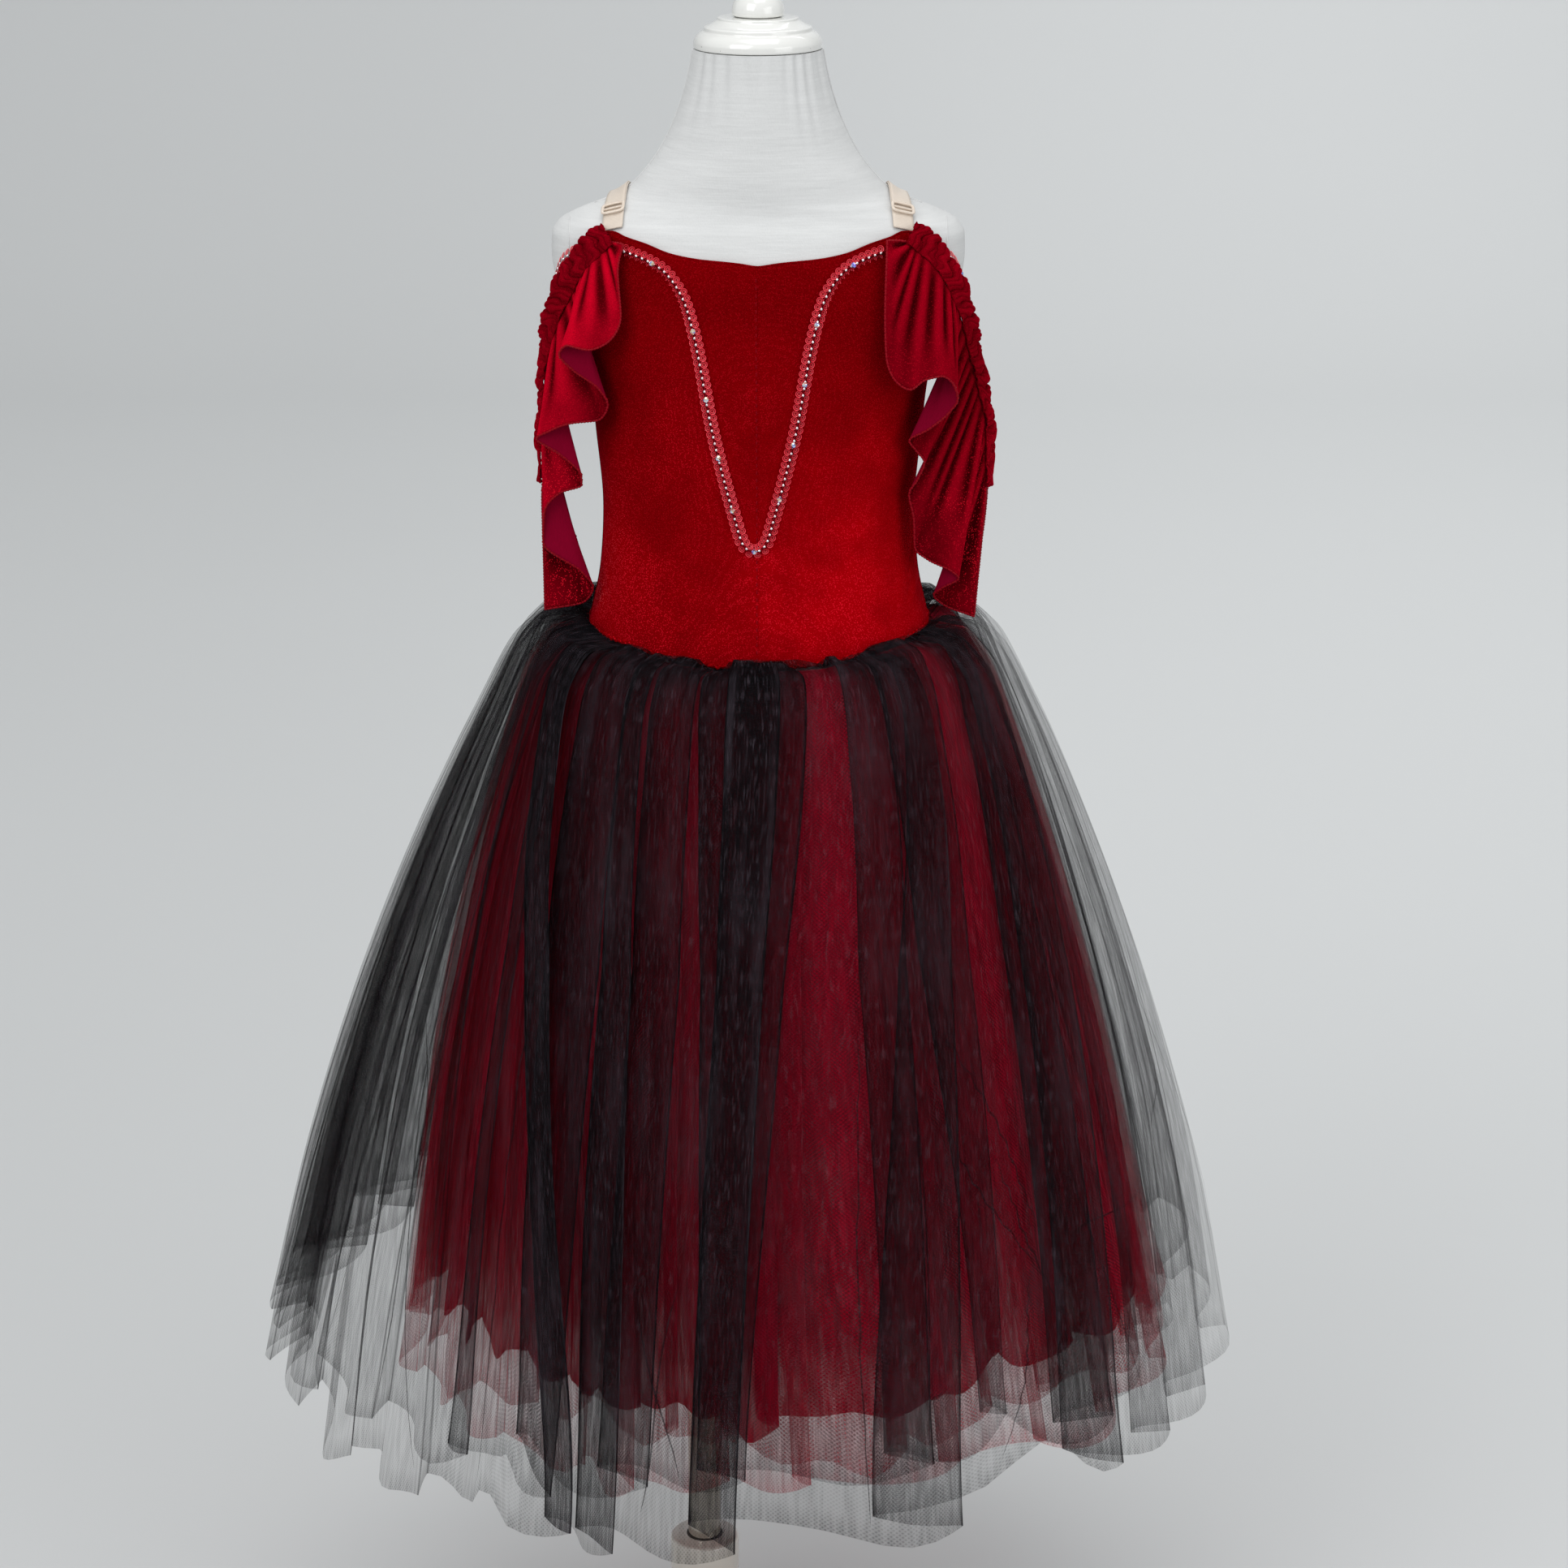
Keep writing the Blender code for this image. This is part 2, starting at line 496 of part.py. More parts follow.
def build_slider(name, side):
    """Rectangular slider frame that lies on the elastic, in front of the shoulder's ridge."""
    corners = strap_surface(RIGHT, np.array(SLIDER_LEAN), ELASTIC_WIDTH)
    centre = corners.mean(axis=(0, 1))
    along_strap = (corners[0] - corners[1]).sum(axis=0)
    along_strap = along_strap / np.linalg.norm(along_strap)
    across = (corners[:, 1] - corners[:, 0]).sum(axis=0)
    across = across - along_strap * across.dot(along_strap)
    across = across / np.linalg.norm(across)
    out = np.cross(across, along_strap)
    lift = SLIDER_BOW + CLOTH_GAP + ELASTIC_THICKNESS + SEAM_GAP
    steps, corner = 20, 5.0
    turn = np.arange(steps) * tau / steps + pi / steps
    rim = np.stack([np.sign(np.cos(turn)) * np.abs(np.cos(turn)) ** (2 / corner),
                    np.sign(np.sin(turn)) * np.abs(np.sin(turn)) ** (2 / corner)])
    outer, window, thickness = (0.0086, 0.0055), (0.0062, 0.0031), 0.0018
    loops = []
    for (half_x, half_y), height in ((outer, 0), (outer, thickness), (window, thickness), (window, 0)):
        flat = rim[0][:, None] * half_x * across + rim[1][:, None] * half_y * along_strap
        loops.append(centre + flat + (lift + height) * out)
    points = np.stack(loops, axis=1)
    points[..., 0] *= side
    shape = bmesh.new()
    dots = [[shape.verts.new(point) for point in loop] for loop in points]
    for i in range(steps):
        for j in range(4):
            quad = dots[i][j], dots[(i + 1) % steps][j]
            shape.faces.new((*quad, dots[(i + 1) % steps][(j + 1) % 4], dots[i][(j + 1) % 4]))
    bmesh.ops.recalc_face_normals(shape, faces=shape.faces)
    mesh = bpy.data.meshes.new(name)
    shape.to_mesh(mesh)
    shape.free()
    add_object(name, mesh, "clear_plastic")


def strip_frame(side, fraction):
    """Middle line of a ruched strip, the way that it faces, and the way to its front edge."""
    x, y, z, facing, tilt = along(STRIP[side], StripPoint._fields, fraction)
    middle = np.stack([x * side, y, z], axis=-1)
    facing, tilt = np.radians(facing), np.radians(tilt)
    out = np.stack([side * np.sin(facing) * np.cos(tilt), -np.cos(facing) * np.cos(tilt),
                    np.sin(tilt)], axis=-1)
    way = np.gradient(middle, axis=0)
    forward = -side * np.cross(out, way)
    forward = forward / np.linalg.norm(forward, axis=-1, keepdims=True)
    return middle, out, forward


def build_ruching(name, side):
    """Strip of velvet gathered lengthwise: its ridges rise from the front edge to the back."""
    fraction = np.linspace(0, 1, STRIP_GATHERS * STEPS_PER_GATHER + 1)
    middle, out, forward = strip_frame(side, fraction)
    across = np.array([1.0, 0.1, -1.0])
    height = np.array([0.0, 0.8, 1.0]) * GATHER_HEIGHT
    wave = 0.5 - 0.5 * np.cos(fraction * STRIP_GATHERS * tau)
    uneven = 0.8 + 0.2 * np.sin(fraction * 31)
    points = (middle[:, None, :] + forward[:, None, :] * (across * STRIP_HALF_WIDTH)[None, :, None]
              + out[:, None, :] * (wave * uneven)[:, None, None] * height[None, :, None])
    if side == LEFT:
        points = points[::-1]
    cloth(name, points, "sleeve_velvet", RUCHING_WALL)


def flounce(name, side, seam, hem):
    """Cloth that hangs from a seam line to a hem line in folds that open as it falls."""
    drop = np.array(FLOUNCE_DROPS)[None, :, None]
    share = drop ** np.array([1.0, FORWARD_POWER, 1.0])
    points = seam[:, None, :] + (hem - seam)[:, None, :] * share
    if side == RIGHT:
        points = points[::-1]
    cloth(name, points, "sleeve_velvet", FLOUNCE_WALL, grow=0, even=False)


def build_front_flounce(name, side):
    """Waterfall flounce: its hem zigzags down in stacked folds in front of the arm."""
    fraction = np.linspace(0, 1, STEPS_PER_HEM_POINT * (len(FRONT_HEM[side]) - 1) + 1)
    x, y, z, sewn = along(FRONT_HEM[side], HemPoint._fields, fraction)
    hem = np.stack([x * side, y, z], axis=-1)
    middle, out, forward = strip_frame(side, sewn)
    seam = middle + forward * (STRIP_HALF_WIDTH + 3 * SEAM_GAP) + out * 2 * SEAM_GAP
    flounce(name, side, seam, hem)


def build_back_flounce(name, side):
    """Plain flounce behind the arm: even folds from the strip's back edge."""
    fraction = np.linspace(0, 1, BACK_FLOUNCE_COLUMNS)
    sewn = BACK_FLOUNCE_TOP + (1 - BACK_FLOUNCE_TOP) * fraction
    middle, out, forward = strip_frame(side, sewn)
    seam = middle - forward * (STRIP_HALF_WIDTH + 2 * SEAM_GAP)
    swing = np.cos(fraction * BACK_FOLDS * tau)
    reach = BACK_FLOUNCE_REACH * (1.25 - 0.45 * fraction)
    inward = np.stack([-side + 0 * fraction, 0 * fraction, 0 * fraction], axis=-1)
    hem = seam + inward * (0.002 + (0.012 + 0.008 * swing) * fraction ** 0.5)[:, None]
    hem[:, 1] += reach
    hem[:, 2] -= BACK_FLOUNCE_DROP * (0.3 + 0.7 * fraction ** 0.5)
    flounce(name, side, seam[::-1], hem[::-1])


def build_sleeves():
    """Each sleeve is a ruched strip with a front and a back flounce, and a trimmed top edge."""
    for side, word in ((LEFT, "left"), (RIGHT, "right")):
        build_ruching(f"sleeve_ruching_{word}", side)
        build_front_flounce(f"sleeve_front_flounce_{word}", side)
        build_back_flounce(f"sleeve_back_flounce_{word}", side)
        build_sleeve_trim(f"sleeve_trim_{word}", side)


def tulle_layer(name, rings, layer, slot):
    """A tube of tulle that leaves the waist in gathers and falls in uneven flutes."""
    steps = FLUTES * layer.steps_per_flute
    angle = np.arange(steps) * tau / steps
    turn = angle[:, None]
    z, half_width, half_depth, shift, gather, flute = (column(rings, f)[None, :] for f in Ring._fields)
    fall = (z[0, 0] - z) / (z[0, 0] - z[0, -1])
    phase = FLUTES * turn + 0.9 * np.sin(2 * turn + 0.4) + 0.6 * np.sin(5 * turn + 1.3)
    strength = 0.75 + 0.25 * np.sin(3 * turn + 0.7)
    fine = np.where(np.arange(steps)[:, None] % 2 == 0, 1.0, 0.0)
    wave = flute * strength * np.cos(phase) + gather * fine
    power = WAIST_POWER + (2 - WAIST_POWER) * np.clip(fall * 3, 0, 1)
    s, c = np.sin(turn), np.cos(turn)
    x = shift + (half_width + wave) * np.sign(s) * np.abs(s) ** (2 / power)
    y = -(half_depth + wave) * np.sign(c) * np.abs(c) ** (2 / power)
    dip = edge_height(WAISTLINE, np.degrees(turn)) - WAISTLINE[-1].z
    swing = np.sin(3 * turn + 2.1) + 0.6 * np.sin(7 * turn + 0.5) + 0.4 * np.sin(11 * turn)
    height = z + dip * (1 - fall) - layer.hem_swing * swing * fall ** 4
    points = np.stack([x, y, height], axis=-1)[:, ::-1]
    cloth(name, points, slot, TULLE_WALL, closed=True, grow=-1)


def main():
    """Build every piece."""
    clear_scene()
    build_torso()
    turned("form_neck_cap", NECK_CAP, "white_gloss", at_form=True)
    turned("form_knob", KNOB, "white_gloss", at_form=True)
    turned("stand_pole", POLE, "chrome", at_form=False)
    turned("stand_collar", COLLAR, "ivory_gloss", at_form=False)
    turned("stand_base", BASE, "ivory_gloss", at_form=False, steps=40)
    build_bodice()
    build_v_trim()
    build_sleeves()
    for side, word in ((LEFT, "left"), (RIGHT, "right")):
        build_strap(f"strap_{word}", side)
        build_slider(f"slider_{word}", side)
    tulle_layer("skirt_black_tulle", BLACK_RINGS, BLACK_LAYER, "black_tulle")
    tulle_layer("skirt_red_tulle", RED_RINGS, RED_LAYER, "red_tulle")


if __name__ == "__main__":
    main()
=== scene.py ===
"""Looks of a child's ballet dress on a dress form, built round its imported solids.

Metres, +Z up, in the solids' own frame: the origin is on the floor under the stand's pole and
the dress faces -Y. Left and right are the viewer's, from the front. Shapes are worked out
round the dress form's middle line, which stands FORM_X to the right of the pole, and are moved
there when their mesh is made. Angles go round the body from the front: 90 is the viewer's
right side and 180 the back.
"""
from collections import namedtuple
from math import pi, radians, tau

import bpy
import numpy as np
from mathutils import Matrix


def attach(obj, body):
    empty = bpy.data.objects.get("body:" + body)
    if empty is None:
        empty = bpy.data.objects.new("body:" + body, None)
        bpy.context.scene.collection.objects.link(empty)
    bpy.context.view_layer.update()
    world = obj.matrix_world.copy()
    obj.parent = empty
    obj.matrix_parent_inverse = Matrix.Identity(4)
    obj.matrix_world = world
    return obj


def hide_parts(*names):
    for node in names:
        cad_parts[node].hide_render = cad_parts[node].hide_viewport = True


bl_info = {
    "name": "Ballet dress on a dress form",
    "version": (1, 0, 0),
    "blender": (4, 5, 0),
    "location": "3D View > Sidebar > Dress",
    "description": "Velvet, tulle and bead trim of a child's ballet dress, with its dress form",
    "category": "Add Mesh",
}

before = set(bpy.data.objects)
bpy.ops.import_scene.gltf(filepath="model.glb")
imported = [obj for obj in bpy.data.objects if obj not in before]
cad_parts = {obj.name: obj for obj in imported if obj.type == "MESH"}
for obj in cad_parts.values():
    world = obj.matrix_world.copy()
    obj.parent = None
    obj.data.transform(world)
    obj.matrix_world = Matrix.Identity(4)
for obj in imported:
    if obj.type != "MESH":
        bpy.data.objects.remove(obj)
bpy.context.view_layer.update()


def table(kind, rows):
    """Rows of plain numbers as named tuples of one kind."""
    return [kind(*row) for row in rows]


# Sizes shared with the solids
FORM_X = 0.043
CLOTH_GAP = 0.0014
BACK_GAP = 0.0020
SEAM_GAP = 0.0003
VELVET_WALL = 0.0012
FLOUNCE_WALL = 0.0009
TRIM_CLEARANCE = 0.0007
ELASTIC_WIDTH = 0.0140
ELASTIC_THICKNESS = 0.0011
SLIDER_LEAN = (-33.0, -22.0)
POLE_RADIUS = 0.0124
BODICE_FLARE = 0.0030
FLARE_HEIGHT = 0.060
STRAP_LEAN = (-42.0, 83.8)
STRAP_FRONT_X = 0.0975
STRAP_BACK_X = 0.0875

# Sides of the dress. A grid and its mirror image are read in opposite directions, by a step of
# the side, so that the faces of both point outwards
LEFT, RIGHT = -1, 1
SIDES = ((LEFT, "left"), (RIGHT, "right"))

# Sizes of the cloth, the trim and the form's cover that the solids don't have
VELVET_STRETCH = 1.08
ELASTIC_WALL = 0.0007
RETURN_LEAN = (-24.0, 70.0)
BODICE_ROWS = 96
WIDTH_ROW = 40
CENTRE_SINK = 0.0007
DEGREE_ROUND = 0.0021
DEEPEST_CREASE = 0.0009
RUCHING_WIDTH = 0.022
PLEAT_DEPTH = 0.0021
SERGED_LOOP = 0.0021
GLITTER_SCALE = 1250.0
SEQUIN_CUP = 0.34
BEAD_RADIUS = 0.00105
CRYSTAL_RADIUS = 0.00205
NECKLINE_STONES = (0.048, 0.165, 0.262, 0.348, 0.428, 0.500, 0.590, 0.672, 0.760, 0.845, 0.948)
SLEEVE_STONES = (0.2, 0.45, 0.7)
ARM_PLATE_X = 0.1275
SHARP_TURN = 50
CLOSED_END = 0.00002

# The dress form, from the bottom up. power is 2 for an ellipse and more for a squarer section
Section = namedtuple("Section", "z half_width front back power")
FORM_SECTIONS = table(Section, [
    (0.700, 0.1040, 0.0700, 0.0740, 2.2), (0.706, 0.1105, 0.0770, 0.0810, 2.2),
    (0.730, 0.1150, 0.0820, 0.0880, 2.2), (0.790, 0.1165, 0.0850, 0.0920, 2.3),
    (0.850, 0.1140, 0.0830, 0.0840, 2.3), (0.900, 0.1075, 0.0795, 0.0720, 2.3),
    (0.940, 0.1055, 0.0780, 0.0680, 2.3), (0.990, 0.1095, 0.0800, 0.0700, 2.3),
    (1.030, 0.1140, 0.0810, 0.0740, 2.3), (1.065, 0.1270, 0.0780, 0.0760, 2.3),
    (1.097, 0.1380, 0.0715, 0.0700, 2.3), (1.118, 0.1412, 0.0655, 0.0640, 2.3),
    (1.130, 0.1408, 0.0610, 0.0610, 2.3), (1.138, 0.1365, 0.0575, 0.0580, 2.3),
    (1.1445, 0.1255, 0.0540, 0.0550, 2.2), (1.151, 0.1085, 0.0520, 0.0530, 2.2),
    (1.1565, 0.0945, 0.0515, 0.0520, 2.1), (1.170, 0.0790, 0.0510, 0.0505, 2.1),
    (1.189, 0.0652, 0.0490, 0.0490, 2.0), (1.2135, 0.0540, 0.0470, 0.0470, 2.0),
    (1.237, 0.0470, 0.0448, 0.0448, 2.0), (1.254, 0.0436, 0.0436, 0.0436, 2.0),
])
FORM_BOTTOM, FORM_TOP = FORM_SECTIONS[0].z, FORM_SECTIONS[-1].z
# Pulls in the form's cover under the cap: where, how wide, how far down and how deep
Pull = namedtuple("Pull", "angle width length depth")
NECK_PULLS = table(Pull, [
    (-58, 4.0, 0.060, 0.0012), (-44, 3.0, 0.050, 0.0009), (-30, 3.5, 0.046, 0.0010),
    (-12, 4.0, 0.036, 0.0007), (4, 3.5, 0.040, 0.0006), (26, 3.0, 0.060, 0.0010),
    (36, 3.0, 0.068, 0.0012), (47, 3.0, 0.060, 0.0010), (66, 4.0, 0.050, 0.0009),
    (95, 4.0, 0.050, 0.0009), (122, 4.0, 0.045, 0.0010), (150, 4.0, 0.050, 0.0009),
    (178, 4.0, 0.055, 0.0010), (205, 4.0, 0.045, 0.0009), (232, 4.0, 0.050, 0.0010),
    (268, 4.0, 0.050, 0.0009),
])

# Upper and lower edges of the bodice, by angle round the body
Edge = namedtuple("Edge", "angle z")
NECKLINE = table(Edge, [
    (0, 1.1175), (4, 1.1195), (14, 1.1220), (21, 1.1250), (29, 1.1310), (36, 1.1345), (42, 1.1375),
    (46, 1.1370), (51, 1.1240), (58, 1.1050), (70, 1.0750), (80, 1.0560), (90, 1.0480),
    (105, 1.0500), (122, 1.0620), (135, 1.0780), (143, 1.0960), (147, 1.0960), (157, 1.0680),
    (180, 1.0480),
])
WAISTLINE = table(Edge, [
    (0, 0.8440), (12, 0.8450), (28, 0.8488), (52, 0.8550), (90, 0.8572), (140, 0.8535),
    (180, 0.8520),
])
# Creases in the bodice's velvet: from one angle and height to another, width and depth
Crease = namedtuple("Crease", "angle z angle2 z2 width depth")
BODICE_CREASES = table(Crease, [
    (66, 0.895, 88, 0.935, 0.0040, 0.0011), (60, 0.880, 82, 0.902, 0.0035, 0.0009),
    (72, 0.915, 92, 0.962, 0.0035, 0.0007), (-64, 0.880, -86, 0.905, 0.0040, 0.0008),
    (-62, 1.070, -84, 1.040, 0.0050, 0.0008), (60, 1.072, 82, 1.036, 0.0050, 0.0009),
    (-30, 0.862, -22, 0.885, 0.0035, 0.0006), (18, 0.860, 12, 0.884, 0.0035, 0.0006),
    (44, 0.862, 38, 0.890, 0.0035, 0.0006), (104, 0.900, 128, 0.920, 0.0050, 0.0008),
    (-104, 0.900, -130, 0.915, 0.0050, 0.0008), (108, 0.925, 135, 0.950, 0.0050, 0.0007),
    (-140, 1.040, -165, 1.015, 0.0050, 0.0007), (140, 1.040, 168, 1.018, 0.0050, 0.0007),
])

# Half of the V trim on the bodice: distance from its middle line, and height
TrimPoint = namedtuple("TrimPoint", "spread z")
V_TRIM = table(TrimPoint, [
    (0.0000, 0.9262), (0.0040, 0.9274), (0.0074, 0.9310), (0.0098, 0.9370), (0.0122, 0.9460),
    (0.0185, 0.9700), (0.0280, 1.0110), (0.0360, 1.0570), (0.0405, 1.0780), (0.0465, 1.0970),
    (0.0600, 1.1155), (0.0760, 1.1235), (0.0875, 1.1270),
])
V_MIDDLE = -0.0025
SLEEVE_TRIM = table(Edge, [
    (56, 1.1240), (64, 1.1170), (74, 1.1030), (86, 1.0910), (98, 1.0860), (112, 1.0890),
    (126, 1.0960), (140, 1.1050),
])

# The ruched strip of a sleeve, from the strap's corner down the outside of the arm.
# facing is the way it faces, round the body from the front; tilt is how far it faces up
StripPoint = namedtuple("StripPoint", "x y z facing tilt")
STRIP = {
    LEFT: table(StripPoint, [
        (0.0995, -0.0508, 1.1360, 30, 38), (0.1152, -0.0486, 1.1215, 38, 30),
        (0.1275, -0.0442, 1.1020, 48, 18), (0.1370, -0.0380, 1.0800, 60, 6),
        (0.1430, -0.0280, 1.0540, 74, 0), (0.1460, -0.0200, 1.0240, 84, 0),
        (0.1480, -0.0150, 0.9920, 88, 0), (0.1480, -0.0130, 0.9600, 90, 0),
    ]),
    RIGHT: table(StripPoint, [
        (0.1014, -0.0512, 1.1370, 34, 38), (0.1184, -0.0480, 1.1225, 46, 30),
        (0.1315, -0.0415, 1.1000, 58, 16), (0.1400, -0.0350, 1.0770, 66, 4),
        (0.1450, -0.0280, 1.0530, 72, 0), (0.1510, -0.0230, 1.0280, 76, 0),
        (0.1560, -0.0190, 1.0000, 78, 0), (0.1570, -0.0170, 0.9580, 80, 0),
    ]),
}
STRIP_HALF_WIDTH = 0.0100
SEAM_REACH = STRIP_HALF_WIDTH - 0.0020
STRIP_GATHERS = 14
GATHER_HEIGHT = 0.0055

# Hem of each front flounce, from the strap's corner down, as a zigzag of stacked folds.
# seam is how far down the ruched strip the cloth above that hem point is sewn
HemPoint = namedtuple("HemPoint", "x y z seam")
FRONT_HEM = {
    LEFT: table(HemPoint, [
        (0.0900, -0.0600, 1.1320, 0.00), (0.0935, -0.0670, 1.1145, 0.02),
        (0.0915, -0.0750, 1.0865, 0.04), (0.0985, -0.0790, 1.0710, 0.07),
        (0.1130, -0.0800, 1.0645, 0.11), (0.1270, -0.0780, 1.0670, 0.15),
        (0.1330, -0.0740, 1.0600, 0.19), (0.1245, -0.0700, 1.0490, 0.23),
        (0.1075, -0.0670, 1.0355, 0.27), (0.1015, -0.0640, 1.0240, 0.31),
        (0.1075, -0.0615, 1.0130, 0.35), (0.1275, -0.0600, 1.0100, 0.40),
        (0.1430, -0.0575, 1.0035, 0.45), (0.1505, -0.0540, 0.9980, 0.49),
        (0.1350, -0.0510, 0.9865, 0.53), (0.1210, -0.0485, 0.9715, 0.57),
        (0.1210, -0.0460, 0.9640, 0.61), (0.1360, -0.0445, 0.9580, 0.66),
        (0.1470, -0.0430, 0.9445, 0.71), (0.1485, -0.0405, 0.9220, 0.76),
        (0.1230, -0.0378, 0.9010, 0.82), (0.1150, -0.0340, 0.8885, 0.88),
        (0.1215, -0.0302, 0.8770, 0.93), (0.1490, -0.0270, 0.8705, 1.00),
    ]),
    RIGHT: table(HemPoint, [
        (0.0865, -0.0600, 1.1345, 0.00), (0.0860, -0.0660, 1.1230, 0.02),
        (0.0850, -0.0750, 1.0870, 0.04), (0.0860, -0.0800, 1.0595, 0.06),
        (0.0925, -0.0820, 1.0435, 0.09), (0.1020, -0.0820, 1.0380, 0.12),
        (0.1120, -0.0795, 1.0440, 0.17), (0.1230, -0.0770, 1.0460, 0.22),
        (0.1310, -0.0730, 1.0400, 0.27), (0.1345, -0.0690, 1.0285, 0.32),
        (0.1295, -0.0660, 1.0195, 0.36), (0.1155, -0.0640, 1.0070, 0.40),
        (0.1025, -0.0610, 0.9985, 0.44), (0.1075, -0.0580, 0.9905, 0.48),
        (0.1130, -0.0560, 0.9820, 0.52), (0.1085, -0.0540, 0.9695, 0.56),
        (0.1030, -0.0520, 0.9585, 0.60), (0.1065, -0.0500, 0.9405, 0.65),
        (0.1075, -0.0480, 0.9205, 0.70), (0.1165, -0.0465, 0.9115, 0.74),
        (0.1335, -0.0450, 0.9025, 0.79), (0.1380, -0.0415, 0.8965, 0.83),
        (0.1280, -0.0382, 0.8895, 0.87), (0.1215, -0.0347, 0.8830, 0.91),
        (0.1285, -0.0312, 0.8750, 0.95), (0.1500, -0.0275, 0.8655, 1.00),
    ]),
}
FORWARD_POWER = 0.6
BACK_FOLDS = 2.5
BACK_FLOUNCE_TOP = 0.45
BACK_FLOUNCE_REACH = 0.030
BACK_FLOUNCE_DROP = 0.085

# A tulle layer, from the waist seam down
Ring = namedtuple("Ring", "z half_width half_depth shift")
BLACK_RINGS = table(Ring, [
    (0.8520, 0.1199, 0.0894, 0.000), (0.8565, 0.1330, 0.1030, 0.000),
    (0.8565, 0.1480, 0.1190, 0.000), (0.8400, 0.1690, 0.1420, 0.000),
    (0.7880, 0.1960, 0.1730, 0.000), (0.6900, 0.2390, 0.2250, -0.002),
    (0.5700, 0.2820, 0.2770, -0.004), (0.4400, 0.3180, 0.3160, -0.006),
    (0.3170, 0.3420, 0.3420, -0.008),
])
RED_RINGS = table(Ring, [
    (0.8505, 0.1200, 0.0894, 0.000), (0.8500, 0.1360, 0.1060, 0.000),
    (0.8280, 0.1600, 0.1340, 0.000), (0.7300, 0.1960, 0.1830, 0.003),
    (0.5500, 0.2440, 0.2420, 0.009), (0.3350, 0.2830, 0.2860, 0.018),
])
WAIST_POWER = 2.3

# Layers of red net: size, turn and width of their folds, rise of the hem, and thicknesses
NetLayer = namedtuple("NetLayer", "scale turn wider rise layers")
RED_LAYERS = table(NetLayer, [
    (0.985, 5.0, 0.7, -0.008, 1.0), (0.955, -4.0, 0.8, 0.018, 4.0), (0.90, 2.0, 0.8, 0.034, 16.0),
])
NET_ROWS = 72
NET_SLANT = 32
NET_SCALE = 210.0
NET_BOUNCES = 40
# How much more the net hides along the edge of a fold, along its hem and in a pinched crease
FOLD_EDGE_COVER = 1.8
HEM_EDGE_COVER = 1.7
PINCH_COVER = 4.5

# Folds that the tulle falls in: middle of the fold at the hem and at the waist, half width
# at the hem and at the waist, all in degrees, depth at the hem, and thicknesses in the fold
Fold = namedtuple("Fold", "hem waist half_hem half_waist depth stack")
OUTER_FOLDS = table(Fold, [
    (-68, -70, 1.6, 3.6, 0.011, 1.2), (-56, -63, 3.0, 3.8, 0.012, 1.5),
    (-41, -60, 1.4, 3.0, 0.012, 1.6), (-22.1, -51.7, 2.6, 5.7, 0.014, 8.0),
    (-17.7, -26.4, 3.5, 3.2, 0.015, 4.6), (-3.9, -0.9, 2.8, 4.6, 0.015, 4.0),
    (19.2, 35.8, 4.4, 2.8, 0.016, 1.5), (44, 60, 2.6, 5.0, 0.013, 2.4),
    (57, 68, 1.4, 2.6, 0.011, 1.0), (70, 76, 2.6, 3.4, 0.012, 1.2), (86, 88, 1.0, 2.6, 0.009, 0.8),
    (101, 102, 1.6, 3.0, 0.010, 1.0), (115, 113, 1.4, 5.5, 0.015, 1.6),
    (132, 129, 2.8, 5.5, 0.013, 3.0), (148, 145, 3.8, 5.5, 0.016, 4.4),
    (165, 162, 1.2, 6.5, 0.014, 2.4), (183, 181, 4.0, 6.5, 0.016, 5.0),
    (201, 199, 1.4, 6.5, 0.013, 3.0), (218, 216, 3.6, 5.5, 0.016, 4.4),
    (235, 232, 1.4, 5.5, 0.013, 2.4), (251, 249, 3.2, 5.5, 0.015, 1.7),
    (266, 264, 1.4, 5.0, 0.012, 1.3), (279, 278, 2.6, 4.2, 0.013, 1.4),
])
INNER_FOLDS = table(Fold, [
    (-64, -67, 3.4, 4.0, 0.012, 1.4), (-50, -58.5, 1.4, 2.6, 0.012, 1.6),
    (-36, -51, 2.6, 3.4, 0.012, 3.2), (-26.0, -36.5, 4.2, 8.0, 0.013, 3.2),
    (-14.4, -18.1, 3.4, 5.6, 0.011, 2.4), (-3.0, -1.2, 3.0, 10.8, 0.012, 1.9),
    (20.5, 23.5, 2.4, 5.2, 0.012, 1.4), (33.0, 36.0, 0.8, 8.2, 0.010, 1.7),
    (49, 60, 3.2, 3.6, 0.014, 2.2), (66, 71, 1.2, 3.4, 0.012, 1.0), (79, 82, 1.6, 3.6, 0.010, 1.0),
    (93, 95, 1.0, 3.0, 0.009, 1.0), (108, 108, 2.6, 5.5, 0.013, 1.5),
    (124, 122, 1.4, 6.0, 0.014, 2.2), (141, 139, 2.6, 6.0, 0.012, 3.2),
    (157, 156, 3.8, 6.0, 0.014, 4.0), (175, 173, 1.4, 6.0, 0.013, 2.4),
    (192, 191, 3.8, 6.0, 0.014, 4.4), (209, 208, 1.4, 6.0, 0.012, 2.4),
    (226, 225, 3.4, 6.0, 0.014, 3.4), (243, 242, 1.4, 5.5, 0.012, 1.6),
    (259, 258, 3.2, 5.0, 0.013, 1.5), (273, 272, 1.2, 5.0, 0.012, 1.3),
    (286, 284, 2.6, 4.6, 0.012, 1.3),
])
